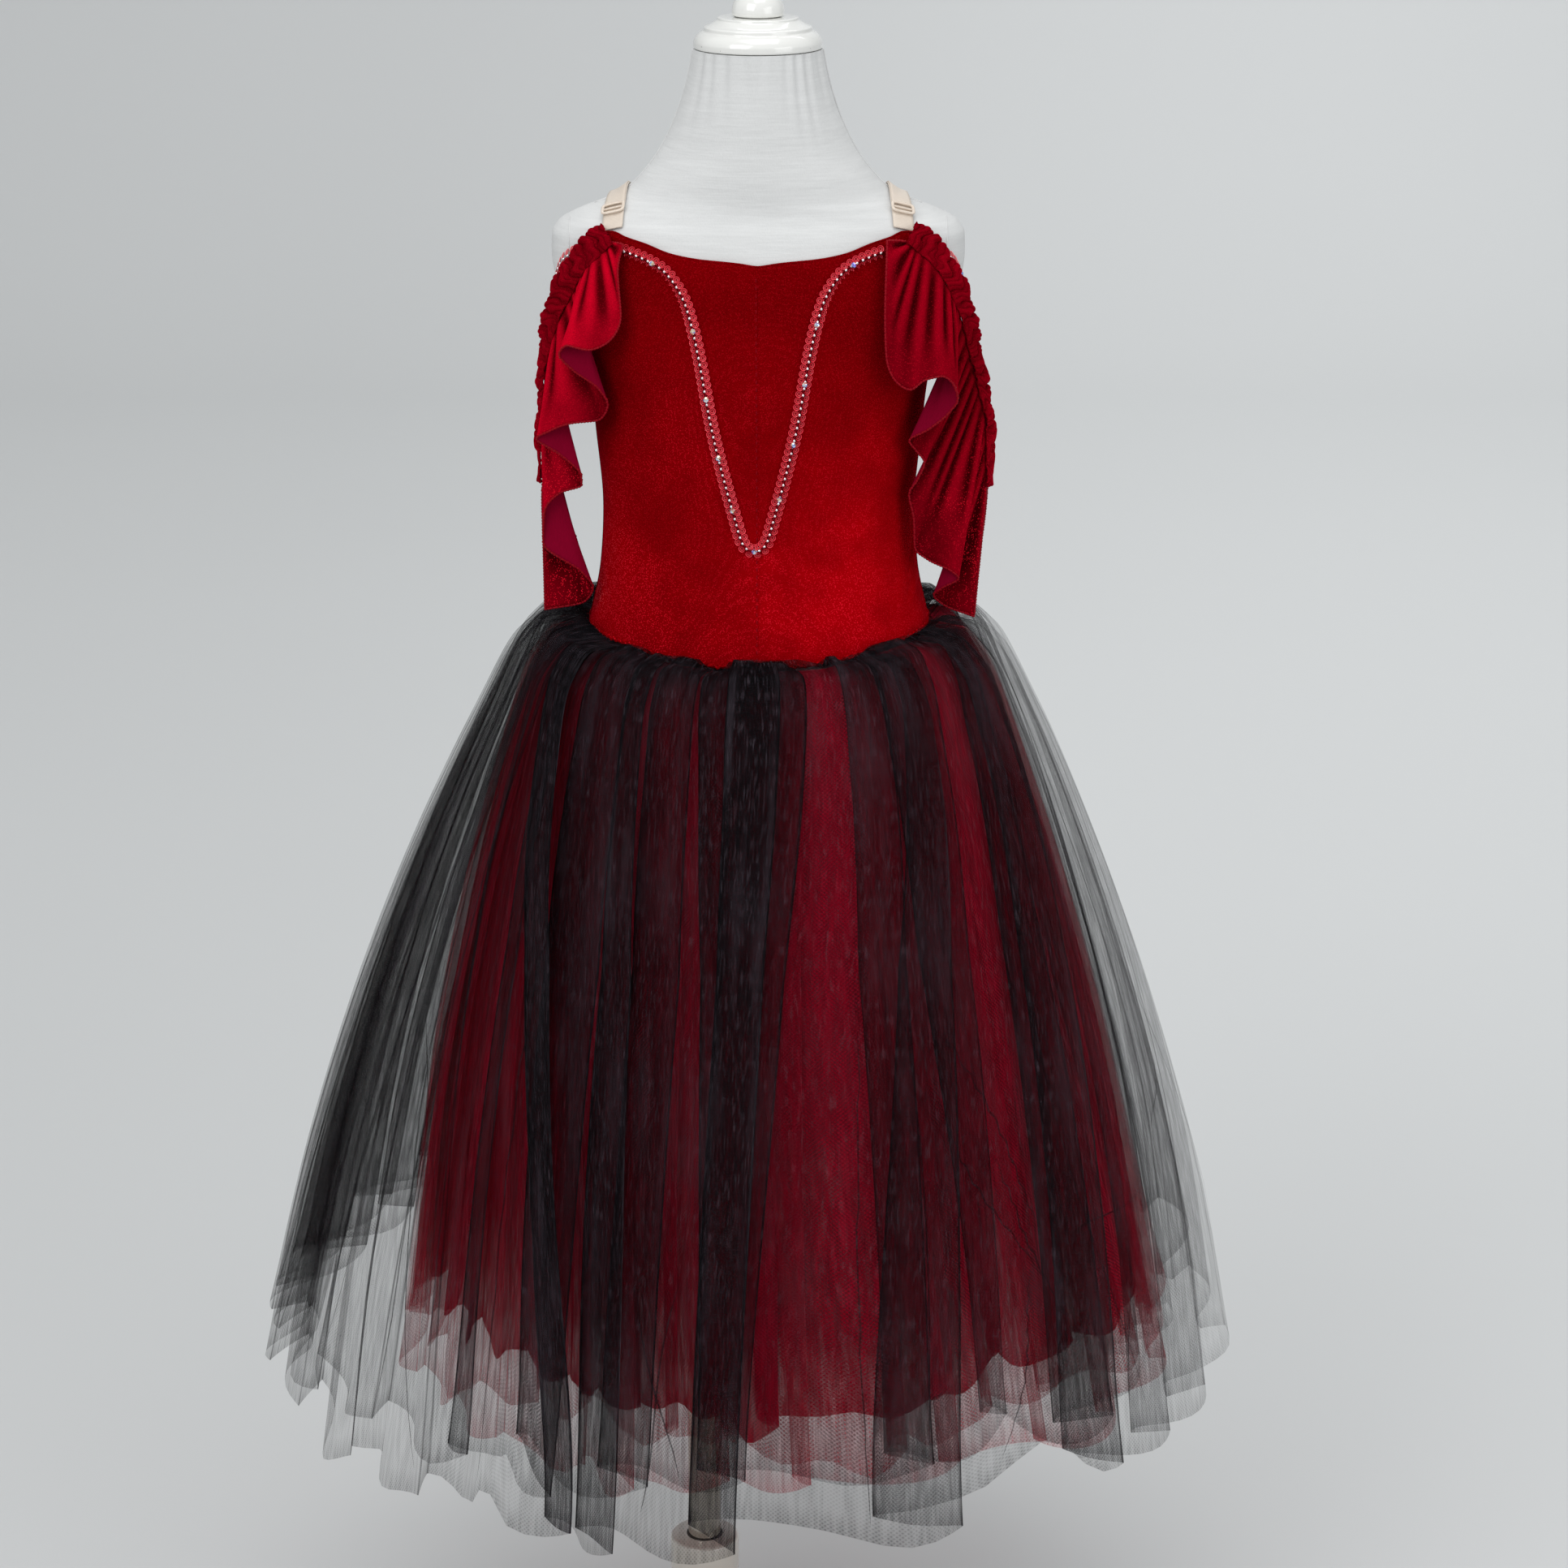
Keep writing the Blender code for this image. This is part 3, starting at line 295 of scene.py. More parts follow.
# Places of a folded layer's columns between one edge of a fold and the other, and from there
# to the next fold. The crowded ones at the ends make a crisp edge.
TURN_PLACES = np.array([0, 0.04, 0.2, 0.4, 0.6, 0.8, 0.96])
PANEL_PLACES = np.array([0, 0.012, 0.08, 0.16, 0.25, 0.34, 0.43, 0.52, 0.61, 0.70, 0.79, 0.88, 0.95,
                         0.988])
TURN_COLUMNS = len(TURN_PLACES)
FOLD_COLUMNS = TURN_COLUMNS + len(PANEL_PLACES)
WAIST_TABS = 44
# Places where the net's hem is cut higher or lower: angle, spread and height
Lift = namedtuple("Lift", "angle spread height")
HEM_LIFTS = table(Lift, [
    (34.5, 5.5, 0.044), (-29.3, 2.0, 0.026), (-60, 8.0, -0.028), (-46, 5.0, -0.010),
    (-37, 3.0, -0.012), (-22, 4.0, -0.008), (118, 8.0, 0.020), (206, 9.0, 0.016),
])
# Pinched creases near the outer net's hem: angle and share of the fall at both ends
PINCHES = [
    (-72, 0.62, -66, 0.86), (-64, 0.70, -70, 0.98), (-60, 0.48, -57, 0.82), (-50, 0.80, -56, 0.98),
    (-59, 0.66, -42, 0.985), (-39, 0.50, -32.5, 0.99), (-15, 0.86, -9, 0.95), (-9, 0.84, -14, 0.98),
    (-80, 0.66, -66, 0.82), (-58, 0.72, -68, 0.86), (15, 0.70, 11.5, 0.99), (24.5, 0.60, 22, 0.97),
    (46, 0.60, 52, 0.97), (47, 0.86, 57, 0.84), (57, 0.84, 62, 0.92), (31, 0.72, 38, 0.84),
    (28, 0.76, 36, 0.88), (36, 0.87, 29, 0.99), (33, 0.80, 39, 0.90), (40, 0.62, 44, 0.90),
    (52, 0.78, 60, 0.90), (62, 0.86, 54, 0.98), (67, 0.60, 72, 0.95), (80, 0.72, 86, 0.97),
    (96, 0.66, 91, 0.93), (110, 0.78, 118, 0.97), (126, 0.70, 122, 0.96), (142, 0.82, 150, 0.95),
    (160, 0.72, 155, 0.98), (172, 0.84, 179, 0.96), (190, 0.70, 196, 0.95), (207, 0.80, 201, 0.98),
    (222, 0.72, 228, 0.92), (240, 0.82, 233, 0.98), (255, 0.66, 261, 0.94), (271, 0.78, 266, 0.97),
    (283, 0.70, 287, 0.92),
]

# Turned pieces: radius at each height, from the bottom up
Turn = namedtuple("Turn", "radius z")
NECK_CAP = table(Turn, [
    (0.0405, 1.2543), (0.0430, 1.2546), (0.0436, 1.2558), (0.0436, 1.2582), (0.0430, 1.2604),
    (0.0414, 1.2630), (0.0388, 1.2652), (0.0369, 1.2662), (0.0367, 1.2668), (0.0366, 1.2682),
    (0.0358, 1.2690), (0.0336, 1.2698), (0.0306, 1.2714), (0.0284, 1.2728), (0.0276, 1.2736),
    (0.0274, 1.2746), (0.0262, 1.2750), (0.0200, 1.2752),
])
KNOB = table(Turn, [
    (0.0160, 1.2755), (0.0172, 1.2762), (0.0177, 1.2784), (0.0175, 1.2810), (0.0166, 1.2842),
    (0.0146, 1.2876), (0.0116, 1.2908), (0.0078, 1.2934), (0.0036, 1.2949),
])
COLLAR = table(Turn, [
    (0.0398, 0.0203), (0.0402, 0.0220), (0.0400, 0.0262), (0.0372, 0.0284), (0.0330, 0.0332),
    (0.0295, 0.0400), (0.0275, 0.0480), (0.0263, 0.0600), (0.0260, 0.0760), (0.0262, 0.0975),
    (0.0262, 0.0988), (0.0251, 0.0996), (0.0249, 0.1012), (0.0251, 0.1028), (0.0262, 0.1036),
    (0.0263, 0.1200), (0.0263, 0.1290), (0.0258, 0.1312), (0.0244, 0.1325), (0.0225, 0.1330),
])
BASE = table(Turn, [
    (0.1250, 0.0001), (0.1266, 0.0016), (0.1272, 0.0050), (0.1270, 0.0095), (0.1252, 0.0136),
    (0.1215, 0.0160), (0.1190, 0.0164), (0.1170, 0.0176), (0.1120, 0.0194), (0.0900, 0.0200),
    (0.0405, 0.0201),
])
POLE = table(Turn, [(POLE_RADIUS, 0.1333), (POLE_RADIUS, 0.3), (POLE_RADIUS, 0.6997)])
# A thin dark ring round the pole on the collar's top: painted shade in the gap where the pole goes
# in
POLE_HOLE_SHADE = table(Turn, [(0.0137, 0.1331), (0.0137, 0.1336), (0.0125, 0.1337)])

# The stage. A light's power is in the settings under its name
Light = namedtuple("Light", "name place target size")
LIGHTS = table(Light, [
    ("key", (-1.5, -2.3, 2.6), (0.03, 0.0, 0.8), 1.9),
    ("fill", (2.2, -2.0, 1.7), (0.05, 0.0, 0.7), 1.8),
    ("top", (0.2, -0.5, 3.4), (0.05, 0.0, 0.8), 1.6),
    ("backdrop", (0.8, 2.6, 4.6), (0.5, 6.3, 0.9), 3.0),
])
ROOM_LIGHT = 0.55
SENSOR_WIDTH = 36.0
CAMERA_PLACE = (FORM_X + 0.0175, -2.58, 1.572)
CAMERA_TILT = 72


# Tables read as smooth curves

def column(rows, name):
    """One named column of a table as an array."""
    return np.array([getattr(row, name) for row in rows], dtype=float)


def smooth(places, values, at):
    """Values read from a smooth curve through a table's points, which never overshoots them.

    Between two points it is the cubic whose slopes are the harmonic means of the chords'.
    """
    places = np.asarray(places, dtype=float)
    values = np.asarray(values, dtype=float)
    step = np.diff(places)
    slope = np.diff(values) / step
    tangent = np.zeros_like(values)
    both = slope[:-1] * slope[1:]
    total = slope[:-1] + slope[1:]
    same_way = both > 0
    tangent[1:-1][same_way] = 2 * both[same_way] / total[same_way]
    tangent[0] = slope[0]
    tangent[-1] = slope[-1]
    at = np.clip(np.asarray(at, dtype=float), places[0], places[-1])
    i = np.clip(np.searchsorted(places, at, side="right") - 1, 0, len(step) - 1)
    t = (at - places[i]) / step[i]
    start = values[i] * (1 + 2 * t) * (1 - t) ** 2 + tangent[i] * step[i] * t * (1 - t) ** 2
    end = values[i + 1] * t * t * (3 - 2 * t) - tangent[i + 1] * step[i] * t * t * (1 - t)
    return start + end


def along(rows, names, fraction):
    """The named columns of a table, each read smoothly at fractions 0 to 1 of its rows."""
    places = np.linspace(0, 1, len(rows))
    return [smooth(places, column(rows, name), fraction) for name in names]


def section_at(z):
    """The form's half width, front and back depth and power at heights z."""
    heights = column(FORM_SECTIONS, "z")
    names = ("half_width", "front", "back", "power")
    return [smooth(heights, column(FORM_SECTIONS, name), z) for name in names]


def signed_power(values, power):
    """The size of each value to a power, with the value's own sign."""
    return np.sign(values) * np.abs(values) ** power


def body_points(angle, z, out=0.0):
    """Points at angles and heights, a distance outside the form.

    A section is a superellipse: half width times sin to the power 2/p across, and depth
    times cos to the power 2/p towards the front or back.
    """
    half_width, front, back, power = section_at(z)
    turn = np.radians(angle)
    s, c = np.sin(turn), np.cos(turn)
    x = (half_width + out) * signed_power(s, 2 / power)
    y = -(np.where(c > 0, front, back) + out) * signed_power(c, 2 / power)
    return np.stack([x, y, z + 0 * x], axis=-1)


def front_angle(x, z, out):
    """Angles at which the front of the body, a distance outside the form, has the given x."""
    half_width, _, _, power = section_at(z)
    share = np.clip(np.abs(x) / (half_width + out), 0, 0.999)
    return np.degrees(np.arcsin(share ** (power / 2))) * np.sign(x)


def unit(vectors):
    """Vectors at length 1."""
    return vectors / np.maximum(np.linalg.norm(vectors, axis=-1, keepdims=True), 1e-12)


def squared(vectors, way):
    """Vectors made square to a unit way, at length 1."""
    return unit(vectors - way * (vectors * way).sum(axis=-1, keepdims=True))


def away_from(angle, middle):
    """Angles measured from a middle one, from -180 to 180."""
    return np.mod(angle - middle + 180, 360) - 180


def grid_normals(points):
    """Unit normals of a grid of points: its first direction crossed with its second."""
    return unit(np.cross(np.gradient(points, axis=0), np.gradient(points, axis=1)))


def edge_height(rows, angle):
    """Height of a bodice edge at angles round the body."""
    from_front = np.minimum(np.abs(angle), 360 - np.abs(angle))
    return smooth(column(rows, "angle"), column(rows, "z"), from_front)


# Meshes

Patch = namedtuple("Patch", "points faces slot uv cover flat")


def turns(count):
    """Even turns round a circle, in radians."""
    return np.arange(count) * tau / count


def steps_of(points, axis=0):
    """Distance from each point of a path or grid to the next, along one direction."""
    return np.linalg.norm(np.diff(points, axis=axis), axis=-1)


def added_up(steps):
    """Running sum of steps, from 0."""
    return np.concatenate([[0], np.cumsum(steps)])


def read_along(places, run, values):
    """Points read at distances along a path. run is the distance of each point in values."""
    return np.stack([np.interp(places, run, values[:, k]) for k in range(3)], axis=-1)


def lengths_uv(points):
    """UV in metres: mean length along each direction of a grid."""
    u = added_up(steps_of(points).mean(axis=1))
    v = added_up(steps_of(points, 1).mean(axis=0))
    return np.stack(np.meshgrid(u, v, indexing="ij"), axis=-1)


def grid_patch(points, slot=0, closed=False, around=False, cover=None):
    """A grid of points as faces.

    closed joins its last column to its first, and around its last row to its first.
    """
    count, rows, _ = points.shape
    i = np.arange(count if closed else count - 1)[:, None]
    j = np.arange(rows if around else rows - 1)[None, :]
    following, up = (i + 1) % count, (j + 1) % rows
    faces = np.stack([i * rows + j, following * rows + j, following * rows + up,
                      i * rows + up], axis=-1).reshape(-1, 4)
    cover = np.ones((count, rows)) if cover is None else cover
    return Patch(points.reshape(-1, 3), faces, slot, lengths_uv(points).reshape(-1, 2),
                 cover.reshape(-1), False)


def tube_patch(path, out, radius, sides=8, slot=0):
    """A tube along a path: radius times the cos and sin of a turn, across it and out of it."""
    way = unit(np.gradient(path, axis=0))
    out = squared(out, way)
    across = np.cross(way, out)
    turn = turns(sides)[None, :, None]
    radius = np.broadcast_to(radius, len(path))[:, None, None]
    ring = np.cos(turn) * across[:, None] + np.sin(turn) * out[:, None]
    start, end = (np.repeat(path[None, [k]], sides, axis=1) for k in (0, -1))
    points = np.concatenate([start, path[:, None] + radius * ring, end])
    return grid_patch(points[:, ::-1], slot, around=True)


def copies_patch(shape, centres, axes, sizes, slot=0, flat=False):
    """Copies of a small shape: each point is centre + size times its three axes' sum."""
    sizes = np.broadcast_to(sizes, len(centres))[:, None, None]
    points = centres[:, None, :] + sizes * np.einsum("nk,mkj->mnj", shape.points, axes)
    points = points.reshape(-1, 3)
    offset = (np.arange(len(centres)) * len(shape.points))[:, None, None]
    faces = (offset + shape.faces).reshape(-1, shape.faces.shape[1])
    return Patch(points, faces, slot, points[:, :2], np.tile(shape.cover, len(centres)), flat)


def lathe_patch(profile, steps, slot=0, refine=4):
    """A turned surface: each radius and height of a smooth profile, carried round its axis."""
    fraction = np.linspace(0, 1, refine * (len(profile) - 1) + 1)
    radius, z = along(profile, Turn._fields, fraction)
    radius = np.concatenate([[CLOSED_END], radius, [CLOSED_END]])
    z = np.concatenate([z[:1], z, z[-1:]])
    turn = turns(steps)[:, None]
    points = np.stack([radius * np.sin(turn), -radius * np.cos(turn), z + 0 * turn], axis=-1)
    return grid_patch(points, slot, closed=True)


def turned_shape(radius, height, sides):
    """A small turned shape at size 1, whose cover is its radius."""
    turn = turns(sides)
    radius, height = np.array(radius)[:, None], np.array(height)[:, None]
    points = np.stack([radius * np.cos(turn), radius * np.sin(turn), height + 0 * turn], axis=-1)
    return grid_patch(points, around=True, cover=radius + 0 * turn)


def placed(name, data):
    """A new object, linked into the scene."""
    made = bpy.data.objects.new(name, data)
    bpy.context.scene.collection.objects.link(made)
    return made


def make_piece(name, patches, materials, replaces=(), sharp=None, at_form=True):
    """An object from patches, at the origin, riding on the part's one body."""
    mesh = bpy.data.meshes.new(name)
    starts = np.cumsum([0] + [len(patch.points) for patch in patches])
    points = np.concatenate([patch.points for patch in patches])
    if at_form:
        points = points + (FORM_X, 0, 0)
    faces = []
    for start, patch in zip(starts, patches):
        faces += (patch.faces + start).tolist()
    mesh.from_pydata(points.tolist(), [], faces)
    for made in materials:
        mesh.materials.append(made)
    slots = np.concatenate([np.full(len(patch.faces), patch.slot) for patch in patches])
    mesh.polygons.foreach_set("material_index", slots.astype(np.int32))
    rounded = np.concatenate([np.full(len(patch.faces), not patch.flat) for patch in patches])
    mesh.polygons.foreach_set("use_smooth", rounded)
    corner = np.empty(len(mesh.loops), dtype=np.int32)
    mesh.loops.foreach_get("vertex_index", corner)
    uv = np.concatenate([patch.uv for patch in patches])
    layer = mesh.uv_layers.new(name="cloth")
    layer.data.foreach_set("uv", uv[corner].astype(np.float32).ravel())
    # cover holds the thicknesses of net seen through, a sequin's share of its radius, and painted
    # light and shade on the velvet
    cover = mesh.attributes.new("cover", "FLOAT", "POINT")
    values = np.concatenate([patch.cover for patch in patches])
    cover.data.foreach_set("value", values.astype(np.float32))
    if sharp:
        mesh.set_sharp_from_angle(angle=radians(sharp))
    mesh.update()
    piece = placed(name, mesh)
    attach(piece, "root")
    if replaces:
        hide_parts(*replaces)
    return piece


def thicken(piece, wall, grow, inside=0, even=True):
    """Give a sheet its wall with a Solidify modifier."""
    modifier = piece.modifiers.new("wall", "SOLIDIFY")
    modifier.thickness = wall
    modifier.offset = grow
    modifier.use_even_offset = even
    modifier.material_offset = inside


def declare(wide, tall, area):
    """Round the width and height of the rectangle that a sheet is cut from; nothing keeps them.
    area, the area of the cut, is not used.
    """
    wide, tall = round(wide, 3), round(tall, 3)


def grid_area(points):
    """Area of a grid's surface: half the cross product of each cell's diagonals."""
    one = points[1:, 1:] - points[:-1, :-1]
    two = points[:-1, 1:] - points[1:, :-1]
    return float(np.linalg.norm(np.cross(one, two), axis=-1).sum() / 2)


# Materials

class Socket:
    """One output of a shader node. Arithmetic on it adds Math nodes."""

    def __init__(self, shader, output):
        self.shader = shader
        self.output = output

    def math(self, operation, first, second=0.0):
        return self.shader.add("ShaderNodeMath", {"operation": operation}, {0: first, 1: second})

    def __add__(self, other):
        return self.math("ADD", self, other)

    def __sub__(self, other):
        return self.math("SUBTRACT", self, other)

    def __rsub__(self, other):
        return self.math("SUBTRACT", other, self)

    def __mul__(self, other):
        return self.math("MULTIPLY", self, other)

    def __rpow__(self, other):
        return self.math("POWER", other, self)

    __radd__ = __add__
    __rmul__ = __mul__

    def above(self, limit):
        """1 where the value is over a limit, else 0."""
        return self.math("GREATER_THAN", self, limit)

    def ease(self, low, high):
        """0 at low, 1 at high, with a soft start and end."""
        settings = {"interpolation_type": "SMOOTHSTEP"}
        return self.shader.add("ShaderNodeMapRange", settings, {"Value": self, 1: low, 2: high})


class Shader:
    """A material made of nodes round one Principled surface."""

    def __init__(self, name, **surface):
        self.material = bpy.data.materials.new(name)
        self.material.use_nodes = True
        self.tree = self.material.node_tree
        self.surface = self.tree.nodes["Principled BSDF"]
        for key, value in surface.items():
            self.plug(self.surface.inputs[key.replace("_", " ")], value)

    def plug(self, target, value):
        """Link a socket, or set a number or colour."""
        if isinstance(value, Socket):
            self.tree.links.new(value.output, target)
        elif target.type == "RGBA":
            target.default_value = (*value[:3], 1.0)
        else:
            target.default_value = value

    def add(self, kind, settings=None, inputs=None, output=0):
        """A node of a kind: its settings first, then its sockets' values or links."""
        node = self.tree.nodes.new(kind)
        for key, value in (settings or {}).items():
            if key == "stops":
                ramp = node.color_ramp
                while len(ramp.elements) < len(value):
                    ramp.elements.new(0.5)
                for element, (place, colour) in zip(ramp.elements, value):
                    element.position = place
                    element.color = (*colour, 1.0)
            else:
                setattr(node, key, value)
        for key, value in (inputs or {}).items():
            self.plug(node.inputs[key], value)
        return Socket(self, node.outputs[output])

    def place(self, source="Object", scale=(1, 1, 1), turn=(0, 0, 0)):
        """Object or UV coordinates, stretched and turned."""
        here = self.add("ShaderNodeTexCoord", output=source)
        return self.add("ShaderNodeMapping", {}, {"Vector": here, "Scale": scale, "Rotation": turn})

    def coordinate(self, axis):
        """Object coordinates along one axis."""
        here = self.add("ShaderNodeTexCoord", output="Object")
        return self.add("ShaderNodeSeparateXYZ", {}, {0: here}, axis)

    def bands(self, where, scale, distortion=0.0):
        """Soft bands across the first direction."""
        settings = {"wave_type": "BANDS", "bands_direction": "X"}
        inputs = {"Vector": where, "Scale": scale, "Distortion": distortion}
        return self.add("ShaderNodeTexWave", settings, inputs)

    def noise(self, where, scale, detail, rough):
        """Noise from 0 to 1."""
        inputs = {"Vector": where, "Scale": scale, "Detail": detail, "Roughness": rough}
        return self.add("ShaderNodeTexNoise", {}, inputs)

    def cells(self, where, scale, output="Distance"):
        """Voronoi cells: the distance to each cell's dot, or the cell's own random colour."""
        return self.add("ShaderNodeTexVoronoi", {}, {"Vector": where, "Scale": scale}, output)

    def mix(self, factor, first, second):
        """Colour between two."""
        settings = {"data_type": "RGBA"}
        return self.add("ShaderNodeMix", settings, {0: factor, 6: first, 7: second}, 2)

    def attribute(self, name):
        """A number kept on the mesh's points."""
        return self.add("ShaderNodeAttribute", {"attribute_name": name}, output="Fac")

    def finish(self, **surface):
        """Plug the surface's sockets and hand over the material."""
        for key, value in surface.items():
            self.plug(self.surface.inputs[key.replace("_", " ")], value)
        return self.material

    def bump(self, height, distance, strength):
        """Normal bent by a height in metres."""
        inputs = {"Height": height, "Distance": distance, "Strength": strength}
        return self.add("ShaderNodeBump", {}, inputs)


def shade(colour, factor):
    """A colour made lighter or darker."""
    return tuple(min(1.0, part * factor) for part in colour)


def velvet(name, colour, glitter, lift):
    """Stretch velvet: brushed pile, a soft sheen and fine glitter in the pile, with painted light
    that makes it lighter towards the bottom and the right, and painted light and shade taken from
    the mesh's cover.
    """
    shader = Shader(name, Sheen_Weight=0.45, Sheen_Roughness=0.32, Specular_IOR_Level=0.0,
                    Sheen_Tint=(0.95, 0.002, 0.03))
    where = shader.place()
    brushed = shader.noise(where, 9.0, 3.0, 0.6).ease(0.32, 0.68)
    streaks = shader.noise(shader.place(scale=(1, 1, 0.35)), 130.0, 3.0, 0.6)
    grain = shader.noise(where, 1500.0, 1.0, 0.6)
    # Painted light: lift lights the velvet up towards the bottom, more so towards the right,
    # mottled by the brushed pile
    lower = 1 - shader.coordinate("Z").ease(0.90, 1.09)
    right = shader.coordinate("X").ease(-0.04, 0.15)
    light = (0.36 + lift * lower * (0.35 + 0.65 * brushed) * (0.64 + 1.7 * right) + 0.12 * brushed
             + 0.08 * (streaks - 0.5) + 0.45 * (grain - 0.5))
    # On the sleeves the mesh's cover holds painted light and shade: lighter on ridges and lobes,
    # darker in valleys and folds
    dark = shader.mix(light * shader.attribute("cover"), (0, 0, 0), colour)
    dots, chance = (shader.cells(where, GLITTER_SCALE, part) for part in ("Distance", "Color"))
    # More glints show towards the bottom, following the painted light
    glint = chance.above(1 - glitter) * (1 - dots.above(0.45)) * (0.12 + 0.88 * lower * brushed)
    base = shader.mix(glint, dark, (0.95, 0.012, 0.03))
    return shader.finish(Base_Color=base, Roughness=0.80 - 0.45 * glint, Metallic=0.7 * glint,
                         Normal=shader.bump(grain, 0.0006, 0.4))


def velvet_back(name, colour):
    """The knitted wrong side of the velvet: matte, with fine ribs."""
    shader = Shader(name, Specular_IOR_Level=0.03)
    knit = shader.noise(shader.place(scale=(1, 1, 0.3)), 900.0, 2.0, 0.5)
    soft = shader.noise(shader.place(), 14.0, 3.0, 0.5)
    light = 0.86 + 0.2 * (knit - 0.5) + 0.22 * (soft - 0.5)
    base = shader.mix(light, (0, 0, 0), colour)
    return shader.finish(Base_Color=base, Roughness=0.85, Normal=shader.bump(knit, 0.0004, 0.5))


def thread(name, colour):
    """Twisted sewing thread."""
    shader = Shader(name, Specular_IOR_Level=0.1)
    twist = shader.noise(shader.place(), 1400.0, 1.0, 0.5)
    base = shader.mix(0.55 + 0.6 * (twist - 0.2), (0, 0, 0), colour)
    return shader.finish(Base_Color=base, Roughness=0.55, Normal=shader.bump(twist, 0.0003, 0.6))


def tulle(name, colour, single, fleck_and_sheen):
    """Soft net. cover counts the threads seen through; single is one thickness's cover.

    What shows is 1 less the part that one thickness lets through, to the power of the count.
    """
    shader = Shader(name, Roughness=0.8, Specular_IOR_Level=0.06)
    one, two = (shader.bands(shader.place("UV", turn=(0, 0, radians(slant))), NET_SCALE)
                for slant in (NET_SLANT, -NET_SLANT))
    weave = 0.62 + one * two
    crush = shader.noise(shader.place("UV", scale=(1, 0.12, 1)), 60.0, 1.5, 0.6)
    fibres = shader.noise(shader.place("UV", scale=(1, 0.07, 1)), 420.0, 1.0, 0.65)
    threads = 0.42 + 0.5 * crush + 0.66 * fibres.ease(0.34, 0.66)
    seen = 1 - (1 - single) ** (shader.attribute("cover") * weave * threads)
    flecks = shader.noise(shader.place("UV", scale=(1, 0.10, 1)), 900.0, 0.0, 0.7)
    tint = shader.mix(crush, shade(colour, 0.7), shade(colour, 1.2))
    # Painted sheen: streaks of the lighter colour where the net is crushed; the flecks mixed in
    # next are lighter fibres in the net
    tint = shader.mix(0.28 * crush.ease(0.50, 0.72), tint, fleck_and_sheen)
    tint = shader.mix(0.48 * flecks.ease(0.60, 0.74), tint, fleck_and_sheen)
    return shader.finish(Base_Color=tint, Alpha=seen)


def sequin_finish(name, colour):
    """Clear red cup sequins, with a painted highlight on the rim and on a ring inside it. cover is
    the share of the radius.
    """
    shader = Shader(name, Roughness=0.30, Specular_IOR_Level=0.22, Coat_Weight=0.08)
    share = shader.attribute("cover")
    # Painted highlight: a bright rim and a fainter ring inside it, where less also shows through
    # the sequin
    rim = share.ease(0.80, 0.90)
    ring = share.ease(0.30, 0.42) * (1 - share.ease(0.50, 0.62))
    painted_highlight = (rim + 0.7 * ring).ease(0.0, 1.0)
    base = shader.mix(painted_highlight, shade(colour, 0.34), (1.0, 0.045, 0.075))
    return shader.finish(Base_Color=base, Alpha=0.70 + 0.28 * painted_highlight)


def silver_beads(name):
    """Glass beads with a silver lining."""
    shader = Shader(name, Roughness=0.12, Metallic=0.9, Coat_Weight=1.0)
    spark = shader.noise(shader.place(), 900.0, 1.0, 0.5)
    base = shader.mix(spark.ease(0.35, 0.65), (0.80, 0.62, 0.64), (0.98, 0.97, 1.0))
    return shader.finish(Base_Color=base)


def rhinestone_finish(name):
    """Cut crystal with a rainbow coating."""
    shader = Shader(name, Roughness=0.06, Metallic=0.85, Coat_Weight=1.0)
    hue = shader.noise(shader.place(), 420.0, 1.0, 0.5)
    stops = [(0.30, (0.35, 0.20, 0.90)), (0.42, (0.25, 0.45, 0.95)), (0.52, (0.95, 0.95, 1.0)),
             (0.62, (0.98, 0.85, 0.45)), (0.74, (0.95, 0.45, 0.55))]
    base = shader.add("ShaderNodeValToRGB", {"stops": stops}, {0: hue})
    return shader.finish(Base_Color=base)


def elastic_finish(name, colour):
    """Satin elastic: fine ribs across."""
    shader = Shader(name, Sheen_Weight=0.3, Sheen_Roughness=0.3)
    ribs = shader.bands(shader.place("UV"), 320.0, 0.4)
    soft = shader.noise(shader.place("UV"), 260.0, 2.0, 0.5)
    base = shader.mix(0.45 + 0.3 * ribs + 0.4 * (soft - 0.5), shade(colour, 0.82),
                      shade(colour, 1.16))
    return shader.finish(Base_Color=base, Roughness=0.42 + 0.15 * soft,
                         Normal=shader.bump(ribs, 0.0002, 0.5))


def clear_plastic(name, colour):
    """Slightly milky clear plastic."""
    shader = Shader(name, Roughness=0.14, Coat_Weight=0.6, Coat_Roughness=0.05)
    cloud = shader.noise(shader.place(), 240.0, 2.0, 0.5)
    base = shader.mix(cloud, shade(colour, 0.88), shade(colour, 1.12))
    return shader.finish(Base_Color=base, Alpha=0.72 + 0.12 * cloud)


def form_cover(name, colour):
    """The form's cover: pale jersey with linen-like slubs that run round the body."""
    shader = Shader(name, Specular_IOR_Level=0.25)
    slubs = shader.noise(shader.place(scale=(0.06, 0.06, 1)), 620.0, 4.0, 0.62)
    bars = shader.noise(shader.place(scale=(0.10, 0.10, 1)), 190.0, 3.0, 0.55)
    weave = shader.noise(shader.place(scale=(1, 1, 0.4)), 1100.0, 2.0, 0.5)
    grime = shader.noise(shader.place(), 11.0, 4.0, 0.6)
    light = 0.55 + 0.55 * (slubs - 0.5) + 0.40 * (bars - 0.5) + 0.25 * (weave - 0.5)
    base = shader.mix(light.ease(0.2, 0.9), shade(colour, 0.90), shade(colour, 1.06))
    base = shader.mix(0.35 * grime.ease(0.45, 0.75), base, shade(colour, 0.88))
    return shader.finish(Base_Color=base, Roughness=0.86,
                         Normal=shader.bump(slubs + 0.7 * weave, 0.0005, 0.35))


